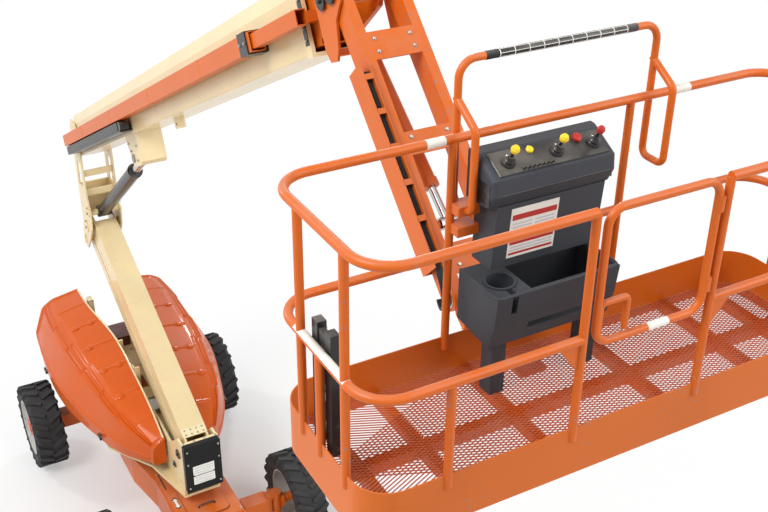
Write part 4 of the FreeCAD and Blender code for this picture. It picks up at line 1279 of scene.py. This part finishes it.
@dataclass
class LowerBoom:
    """Seams, end plate and bolts of the lower boom.

    Attributes:
        half: Half of the boom's width.
        depth: Depth of the boom.
    """

    half: float = 0.124
    depth: float = 0.285

    def dress(self) -> None:
        """Build the lower boom's details."""
        axes = LOWER.matrix()
        welds = Shape(axes)
        for side in (-1, 1):
            welds.pipe([(-2.86, side * (self.half - 0.001), self.depth / 2 - 0.004),
                        (-0.10, side * (self.half - 0.001), self.depth / 2 - 0.004)], 0.005, 8)
            welds.block((-2.70, side * self.half - 0.003, -0.10), (-0.30, side * self.half + 0.003, -0.075),
                        0.001)
        welds.piece("lower_boom_seams", CREAM, Body.LOWER_BOOM, Slot.CREAM)
        bolts = Shape(axes)
        for x in (-0.145, -0.095):
            for y in (-0.09, -0.03, 0.03, 0.09):
                bolts.bolt((x, y, self.depth / 2 + 0.005), (0, 0, 1), 0.008)
        bolts.piece("boom_end_bolts", ZINC, Body.LOWER_BOOM, Slot.STEEL)
        plate = Shape(axes)
        plate.block((-0.17, -self.half + 0.004, self.depth / 2 - 0.001),
                    (-0.07, self.half - 0.004, self.depth / 2 + 0.005), 0.001)
        plate.piece("boom_end_plate", TRIM_CREAM, Body.LOWER_BOOM, Slot.CREAM)


@dataclass
class Upright:
    """Pin caps, keepers and bolts of the upright.

    Attributes:
        outer: Outer face of the side plates.
    """

    outer: float = 0.174

    def dress(self) -> None:
        """Build the upright's details."""
        caps, bolts = Shape(), Shape()
        pins = ((ELBOW.x, ELBOW.z, 0.058), (MAIN.x, MAIN.z, 0.058), (ELBOW.x + 0.15, ELBOW.z + 0.24, 0.046),
                (ELBOW.x - 0.15, ELBOW.z - 0.235, 0.036))
        for side in (-1, 1):
            for x, z, radius in pins:
                face = side * self.outer
                if side < 0 and z == MAIN.z:
                    caps.turned([(0, radius), (0.004, radius), (0.006, radius - 0.004), (0.006, 0)],
                                (x, face, z),
                                (0, side, 0), 32)
                    continue
                caps.turned([(0, radius), (0.008, radius), (0.011, radius - 0.004), (0.011, 0)], (x, face, z),
                            (0, side, 0), 32)
                caps.block((x - 0.012, face - 0.006 + side * 0.006, z + radius - 0.008),
                           (x + 0.012, face + 0.006 + side * 0.006, z + radius + 0.035), 0.002)
                if radius > 0.04:
                    bolts.bolt((x, side * (self.outer + 0.012), z + radius + 0.02), (0, side, 0), 0.009)
                    bolts.bolt((x, side * (self.outer + 0.011), z), (0, side, 0), 0.014)
        caps.piece("upright_pin_caps", CREAM, Body.UPRIGHT, Slot.CREAM)
        bolts.piece("upright_bolts", ZINC, Body.UPRIGHT, Slot.STEEL)


@dataclass
class MainBoom:
    """Wear pads, chain links, plates and bolts of the main boom.

    Attributes:
        half: Half of the boom's width.
        depth: Depth of the boom.
        tube_y: Inner face of the cable tube.
    """

    half: float = 0.15
    depth: float = 0.44
    tube_y: float = -0.182

    def dress(self) -> None:
        """Build the main boom's details."""
        axes = MAIN.matrix()
        links = Shape(axes)
        pitch, start, end = 0.052, -0.03, 2.44
        count = int((end - start) / pitch)
        for k in range(count):
            x = start + k * pitch
            links.block((x, self.tube_y - 0.086, -0.182), (x + pitch - 0.008, self.tube_y - 0.076, -0.100),
                        0.003)
            links.block((x + 0.012, self.tube_y - 0.080, -0.104), (x + 0.030, self.tube_y - 0.002, -0.096),
                        0.002)
        links.piece("track_links", BLACK, Body.MAIN_BOOM, Slot.BLACK)
        pads = Shape(axes)
        for side in (-1, 1):
            pads.block((6.619, side * 0.1665 - 0.004, -0.17), (6.669, side * 0.1665 + 0.004, -0.05), 0.002)
            pads.block((6.619, side * 0.1665 - 0.004, 0.0), (6.669, side * 0.1665 + 0.004, 0.10), 0.002)
        pads.block((6.614, -0.09, 0.236), (6.672, 0.09, 0.242), 0.002)
        pads.piece("wear_pad_plates", BLACK, Body.MAIN_BOOM, Slot.BLACK)
        bolts = Shape(axes)
        for side in (-1, 1):
            for z in (-0.145, -0.075, 0.025, 0.075):
                bolts.bolt((6.644, side * 0.1705, z), (0, side, 0), 0.008)
            for x, z in ((2.07, -0.29), (2.12, -0.36), (2.28, -0.46), (2.33, -0.33)):
                bolts.bolt((x, side * 0.118, z), (0, side, 0), 0.010)
        for x in (0.335, 3.235, 5.6):
            bolts.bolt((x, self.tube_y - 0.046, 0.030), (0, 0, 1), 0.010)
        for x in (5.93, 6.01):
            bolts.bolt((x, self.tube_y - 0.102, -0.029), (0, -1, 0), 0.009)
        bolts.piece("main_boom_bolts", ZINC, Body.MAIN_BOOM, Slot.STEEL)
        straps = Shape(axes)
        for x in (0.9, 2.2, 3.6, 5.0):
            straps.block((x, self.tube_y - 0.0935, -0.0895), (x + 0.05, self.tube_y + 0.0015, 0.0315), 0.002)
        straps.piece("cable_tube_straps", ORANGE, Body.MAIN_BOOM, Slot.ORANGE)
        pins = Shape(axes)
        for side in (-1, 1):
            pins.turned([(0, 0.040), (0.010, 0.040), (0.013, 0.036), (0.013, 0)], (2.15, side * 0.118, -0.43),
                        (0, side, 0), 28)
        pins.piece("main_lift_pin_caps", STEEL, Body.MAIN_BOOM, Slot.STEEL)
        welds = Shape(axes)
        for side in (-1, 1):
            welds.pipe([(-0.09, side * (self.half - 0.001), -self.depth / 2 + 0.004),
                        (6.59, side * (self.half - 0.001), -self.depth / 2 + 0.004)], 0.004, 8)
        welds.piece("main_boom_seams", CREAM, Body.MAIN_BOOM, Slot.CREAM)


@dataclass
class Jib:
    """Tray slats, plates, bolts and hoses of the jib and its head.

    Attributes:
        tray_start: Where the hose tray starts.
        tray_y: Its outer edge.
        hoses: Number of hoses.
    """

    tray_start: float = 0.42
    tray_y: float = -0.238
    hoses: int = 5

    def dress(self) -> None:
        """Build the jib's details."""
        axes = JIB.matrix()
        slats = Shape(axes)
        for k in range(6):
            x = self.tray_start + 0.06 + k * 0.185
            slats.block((x, self.tray_y + 0.002, 0.083), (x + 0.03, -0.186, 0.087), 0.001)
        slats.piece("tray_slats", ORANGE, Body.JIB, Slot.ORANGE)
        bolts = Shape(axes)
        for x in (0.30, 0.37, 0.83, 0.89, 1.42, 1.49):
            for y in (-0.10, 0.10):
                bolts.bolt((x, y, 0.065), (0, 0, 1), 0.008)
        for side in (-1, 1):
            for x in (0.0, 1.62):
                bolts.turned([(0, 0.050), (0.005, 0.050), (0.007, 0.046), (0.007, 0)], (x, side * 0.186, 0),
                             (0, side, 0), 28)
        bolts.piece("jib_bolts", ZINC, Body.JIB, Slot.STEEL)
        for k in range(self.hoses):
            across = -0.228 + 0.009 * k
            deep = 0.002 * (k % 2)
            path = [(0.46, across, 0.060 - deep), (0.90, across, 0.058 - deep), (1.30, across, 0.060 - deep),
                    (1.46, across, 0.064), (1.56, across - 0.004 * k, 0.060),
                    (1.655, across - 0.006, 0.020 - 0.006 * k),
                    (1.665, across + 0.006, -0.055 - 0.006 * k), (1.60, across + 0.030, -0.085 - 0.004 * k)]
            hose(f"jib_hose_{k + 1}", [tuple(axes @ Vector(p)) for p in path], 0.0085, Body.JIB)
        head = Shape()
        for side in (-1, 1):
            for place, radius in (((HEAD.x, HEAD.z), 0.050), ((JIB.x, JIB.z), 0.050)):
                head.turned([(0, radius), (0.006, radius), (0.009, radius - 0.004), (0.009, 0)],
                            (place[0], side * 0.214, place[1]), (0, side, 0), 28)
                head.bolt((place[0], side * 0.223, place[1]), (0, side, 0), 0.012)
        head.piece("jib_head_pin_caps", BLACK, Body.JIB_HEAD, Slot.BLACK)


@dataclass
class Platform:
    """Expanded-metal floor, painted rail highlights, gate tape, wrapped guard tube, console controls and fittings
    of the platform.

    Attributes:
        mesh_long: Length of a mesh opening.
        mesh_short: Width of a mesh opening.
        strand: Width of a strand.
        corner: Corner radius of the floor.
        console_x: Rear face of the console.
    """

    mesh_long: float = 0.038
    mesh_short: float = 0.0165
    strand: float = 0.0028
    corner: float = 0.143
    console_x: float = RAIL_FAR + RAIL_RADIUS + 0.0003

    def dress(self) -> None:
        """Build the platform's details."""
        self.floor()
        self.rail_highlights_and_gate_tape()
        self.guard_wrap()
        self.console()
        self.fittings()

    def inside(self, x: float, y: float) -> bool:
        """Say whether a point lies within the floor's rounded outline.

        Args:
            x: X along the machine.
            y: Y across the machine.

        Returns:
            True within the outline.
        """
        half_x, half_y = 0.3755, HALF_LENGTH - 0.0005
        dx = abs(x - (RAIL_FAR + RAIL_NEAR) / 2) - (half_x - self.corner)
        dy = abs(y) - (half_y - self.corner)
        if dx > 0 and dy > 0:
            return math.hypot(dx, dy) <= self.corner
        return dx <= self.corner and dy <= self.corner

    def floor(self) -> None:
        """Build the expanded-metal floor from two crossing sets of slanted strands."""
        shape = Shape()
        middle = (RAIL_FAR + RAIL_NEAR) / 2
        slope = self.mesh_long / self.mesh_short
        width = 0.752
        reach = width * slope
        count = int((2 * HALF_LENGTH + reach) / self.mesh_long) + 1
        for sign in (-1, 1):
            for k in range(count):
                base = -HALF_LENGTH - reach / 2 + k * self.mesh_long
                spots = []
                for step in range(241):
                    x = middle - width / 2 + width * step / 240
                    y = base + reach / 2 + sign * slope * (x - middle)
                    if self.inside(x, y):
                        spots.append((x, y))
                if len(spots) < 2:
                    continue
                (x0, y0), (x1, y1) = spots[0], spots[-1]
                run = Vector((x1 - x0, y1 - y0, 0))
                side = Vector((-run.y, run.x, 0)).normalized() * self.strand / 2
                low, high = FLOOR_Z - 0.0055, FLOOR_Z - (0.001 if sign > 0 else 0.0)
                ends = [Vector((x0, y0, low)), Vector((x1, y1, low))]
                outline = [ends[0] - side, ends[1] - side, ends[1] + side, ends[0] + side]
                shape.plate([tuple(p) for p in outline], (0, 0, high - low))
        obj = shape.piece("floor_mesh", FLOOR_ORANGE, Body.PLATFORM, Slot.ORANGE, 30.0)
        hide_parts("platform_floor")

    def half_sleeve(self, shape: Shape, start: Point, end: Point, radius: float, arc: tuple[float, float],
                    thick: float = 0.0007) -> None:
        """Add a thin strip over part of a straight rail's girth.

        Args:
            shape: The mesh to add to.
            start: Start of the strip.
            end: End of the strip.
            radius: Radius of the rail.
            arc: Angles between which it lies, in degrees.
            thick: Thickness of the strip.
        """
        line = Vector(end) - Vector(start)
        across = line.cross(Vector((0, 0, 1))).normalized()
        steps = 10
        outer, inner = [], []
        for k in range(steps + 1):
            angle = math.radians(arc[0] + (arc[1] - arc[0]) * k / steps)
            way = across * math.cos(angle) + Vector((0, 0, 1)) * math.sin(angle)
            outer.append(way * (radius + thick))
            inner.append(way * (radius - 0.0003))
        ring = outer + inner[::-1]
        near = [shape.bm.verts.new(Vector(start) + p) for p in ring]
        far = [shape.bm.verts.new(Vector(end) + p) for p in ring]
        for k in range(len(ring)):
            j = (k + 1) % len(ring)
            shape.bm.faces.new([near[k], near[j], far[j], far[k]])
        count = steps + 1
        for k in range(steps):
            shape.bm.faces.new([near[k], near[k + 1], near[2 * count - 2 - k], near[2 * count - 1 - k]])
            shape.bm.faces.new([far[k], far[2 * count - 1 - k], far[2 * count - 2 - k], far[k + 1]])

    def rail_highlights_and_gate_tape(self) -> None:
        """Build the white strips on the rails, which are painted highlights, and the white tape on the gate."""
        top, mid = FLOOR_Z + 1.09, FLOOR_Z + 0.575
        shape = Shape()
        # The white strips on the rails are painted highlights, not tape.
        self.half_sleeve(shape, (RAIL_FAR, -0.575, top), (RAIL_FAR, -0.490, top), RAIL_RADIUS, (-60, 240))
        self.half_sleeve(shape, (6.56, -HALF_LENGTH, mid), (6.96, -HALF_LENGTH, mid), RAIL_RADIUS, (20, 150))
        self.half_sleeve(shape, (RAIL_FAR, 0.66, top), (RAIL_FAR, 0.745, top), RAIL_RADIUS, (-60, 240))
        shape.piece("rail_painted_highlights", TAPE_AND_HIGHLIGHT, Body.PLATFORM, Slot.ORANGE)
        strip = Shape()
        self.half_sleeve(strip, (RAIL_NEAR, -0.045, FLOOR_Z + 0.535), (RAIL_NEAR, 0.055, FLOOR_Z + 0.535),
                         0.01615, (-60, 240))
        strip.piece("gate_tape", TAPE_AND_HIGHLIGHT, Body.GATE, Slot.ORANGE)

    def guard_wrap(self) -> None:
        """Build the black wrapping on the raised guard tube, with its pale bands."""
        x, z = RAIL_FAR - RAIL_RADIUS - RAIL_RADIUS * 0.84 - 0.0003, FLOOR_Z + 1.39
        start, end = -0.30, 0.44
        wrap = Shape()
        wrap.turned([(0, 0.0163), (0.002, 0.0176), (end - start - 0.002, 0.0176), (end - start, 0.0163)],
                    (x, start, z), (0, 1, 0), 24)
        wrap.piece("guard_wrap", BLACK, Body.PLATFORM, Slot.BLACK)
        bands = Shape()
        inner, last = start + 0.06, end - 0.06
        count = 9
        width = (last - inner) / count
        for k in range(count + 1):
            y = inner + k * width
            bands.turned([(0, 0.0176), (0.0005, 0.0181), (0.0035, 0.0181), (0.004, 0.0176)], (x, y, z),
                         (0, 1, 0), 24)
        for angle in (-35.0, 15.0, 75.0):
            way = Vector((math.cos(math.radians(angle)), 0, math.sin(math.radians(angle))))
            centre = Vector((x, 0, z)) + way * 0.0177
            side = Vector((-way.z, 0, way.x)) * 0.0012
            outline = [centre - side + Vector((0, inner, 0)), centre - side + Vector((0, last, 0)),
                       centre + side + Vector((0, last, 0)), centre + side + Vector((0, inner, 0))]
            bands.plate([tuple(p) for p in outline], tuple(way * 0.0005))
        bands.piece("guard_wrap_bands", TAPE_AND_HIGHLIGHT, Body.PLATFORM, Slot.BLACK)

    def console(self) -> None:
        """Build the console's control panel, levers, buttons, plates and straps."""
        x0 = self.console_x
        slope = Arm(x0 + 0.060, FLOOR_Z + 1.045, -29.25)
        panel = Shape(slope.matrix())
        panel.block((0.012, -0.355, -0.001), (0.130, 0.172, 0.006), 0.004)
        for y in (-0.29, -0.06, 0.12):
            panel.turned([(0.004, 0.030), (0.012, 0.029), (0.020, 0.022), (0.028, 0.023), (0.036, 0.015),
                          (0.046, 0.012),
                          (0.046, 0)], (0.075, y, 0), (0, 0, 1), 20)
            panel.turned([(0.040, 0.006), (0.075, 0.007), (0.078, 0)], (0.075, y, 0), (0, 0, 1), 12)
        for k in range(7):
            y = -0.235 + 0.022 * k
            panel.turned([(0.004, 0.007), (0.010, 0.007), (0.010, 0.0035), (0.026, 0.0045), (0.028, 0)],
                         (0.115, y, 0), (0.3, 0, 1), 10)
        panel.piece("console_panel", BLACK, Body.PLATFORM, Slot.BLACK)
        knobs = Shape(slope.matrix())
        for y in (-0.29, -0.06):
            knobs.turned([(0.074, 0.008), (0.078, 0.016), (0.092, 0.019), (0.104, 0.013), (0.107, 0)],
                         (0.075, y, 0), (0, 0, 1), 20)
        knobs.turned([(0.005, 0.016), (0.014, 0.016), (0.018, 0.012), (0.018, 0)], (0.040, -0.17, 0),
                     (0, 0, 1), 20)
        knobs.piece("yellow_knobs", YELLOW, Body.PLATFORM, Slot.CHARCOAL)
        stop = Shape(slope.matrix())
        stop.turned([(0.005, 0.012), (0.014, 0.012), (0.016, 0.020), (0.026, 0.020), (0.031, 0.013),
                     (0.032, 0)], (0.042, 0.055, 0),
                    (0, 0, 1), 24)
        stop.turned([(0.074, 0.008), (0.078, 0.015), (0.092, 0.017), (0.102, 0.012), (0.105, 0)],
                    (0.075, 0.12, 0), (0, 0, 1), 20)
        stop.piece("stop_button", LABEL_RED, Body.PLATFORM, Slot.CHARCOAL)
        face = self.face_point
        board = Shape()
        board.plate([face(-0.285, 0.60), face(-0.055, 0.60), face(-0.055, 0.83), face(-0.285, 0.83)],
                    (0.0015, 0, -0.0001))
        board.piece("console_placard", TAPE_AND_HIGHLIGHT, Body.PLATFORM, Slot.CHARCOAL)
        reds = Shape()
        for low, high in ((0.775, 0.80), (0.66, 0.672), (0.612, 0.622)):
            reds.plate([face(-0.277, low), face(-0.063, low), face(-0.063, high), face(-0.277, high)],
                       (0.0022, 0, -0.0001))
        reds.piece("placard_red_bands", LABEL_RED, Body.PLATFORM, Slot.CHARCOAL)
        greys = Shape()
        for k in range(5):
            z = 0.690 + 0.016 * k
            for y0, y1 in ((-0.272, -0.178), (-0.165, -0.07)):
                greys.plate([face(y0, z), face(y1, z), face(y1, z + 0.007), face(y0, z + 0.007)],
                            (0.0021, 0, -0.0001))
        for k in range(2):
            greys.plate([face(-0.272, 0.630 + 0.014 * k), face(-0.068, 0.630 + 0.014 * k),
                         face(-0.068, 0.637 + 0.014 * k),
                         face(-0.272, 0.637 + 0.014 * k)], (0.0021, 0, -0.0001))
        greys.piece("placard_grey_bands", LABEL_GREY, Body.PLATFORM, Slot.CHARCOAL)
        straps = Shape()
        for z in (0.685, 0.775):
            straps.block((RAIL_FAR - 0.012, -0.455, FLOOR_Z + z), (x0 + 0.05, -0.352, FLOOR_Z + z + 0.045),
                         0.003)
        straps.piece("console_straps", ORANGE, Body.PLATFORM, Slot.ORANGE)
        rim = Shape()
        y0, y1, z = -0.405, 0.205, FLOOR_Z + 0.505
        rim.pipe(fillet_line([(x0 + 0.004, y0 + 0.003, z), (x0 + 0.279, y0 + 0.003, z),
                              (x0 + 0.279, y1 - 0.003, z),
                              (x0 + 0.004, y1 - 0.003, z)], 0.03), 0.007, 10)
        rim.turned([(0, 0.060), (0.006, 0.066), (0.012, 0.066), (0.012, 0.058)],
                   (x0 + 0.165, y0 + 0.088, z - 0.004), (0, 0, 1), 32, ring=True)
        rim.piece("tray_rim", CHARCOAL, Body.PLATFORM, Slot.CHARCOAL)
        seam = Shape()
        for y in (-0.391, 0.206):
            seam.block((x0 + 0.03, y - 0.0012, FLOOR_Z + 0.86), (x0 + 0.165, y + 0.0012, FLOOR_Z + 0.95),
                       0.001)
        seam.block((x0 + 0.178, -0.36, FLOOR_Z + 0.905), (x0 + 0.1935, 0.175, FLOOR_Z + 0.912), 0.001)
        seam.piece("console_seams", BLACK, Body.PLATFORM, Slot.BLACK)

    def face_point(self, y: float, height: float) -> Point:
        """Give a point on the console body's near face at a height above the floor."""
        share = (height - 0.56) / 0.292
        return (self.console_x + 0.148 + 0.023 * share + 0.0002, y, FLOOR_Z + height)

    def fittings(self) -> None:
        """Build bolts on the rails and the bracket, and the rotator's cap and rings."""
        bolts = Shape()
        middle = (RAIL_FAR + RAIL_NEAR) / 2
        for x in (middle - 0.0725, middle + 0.0325):
            for z in (0.16, 0.30, 0.62):
                bolts.bolt((x, -HALF_LENGTH + RAIL_RADIUS + 0.0383, FLOOR_Z + z), (0, 1, 0), 0.009)
        for y in (-0.05, 0.05):
            bolts.bolt((ROTATOR_X + 0.2, y, JIB_END.z + 0.1223), (0, 0, 1), 0.009)
        bolts.piece("platform_bolts", ZINC, Body.PLATFORM, Slot.STEEL)
        cap = Shape()
        cap.turned([(0, 0.060), (0.010, 0.060), (0.014, 0.054), (0.014, 0)],
                   (ROTATOR_X, 0, JIB_END.z + 0.1223), (0, 0, 1), 32)
        cap.piece("rotator_cap", BLACK, Body.PLATFORM, Slot.BLACK)
        ring = Shape()
        for z in (-0.12, -0.02, 0.05):
            ring.turned([(0, 0.0885), (0.004, 0.091), (0.012, 0.091), (0.016, 0.0885)],
                        (ROTATOR_X, 0, JIB_END.z + z), (0, 0, 1), 40)
        ring.piece("rotator_rings", ORANGE, Body.SUPPORT, Slot.ORANGE)


def main() -> None:
    """Build the scene around the frame."""
    logging.basicConfig(level=logging.INFO, format="%(message)s")
    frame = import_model()
    studio = Studio()
    studio.camera()
    Frame().finish_nodes(frame)
    for part in (Wheels(), Hood(1), Hood(-1), Turntable(), Chassis(), LowerBoom(), Upright(), MainBoom(),
                 Jib(), Platform()):
        part.dress()
    studio.floor()
    studio.lights()
    bpy.context.scene.view_settings.view_transform = "Standard"


if __name__ == "__main__":
    main()
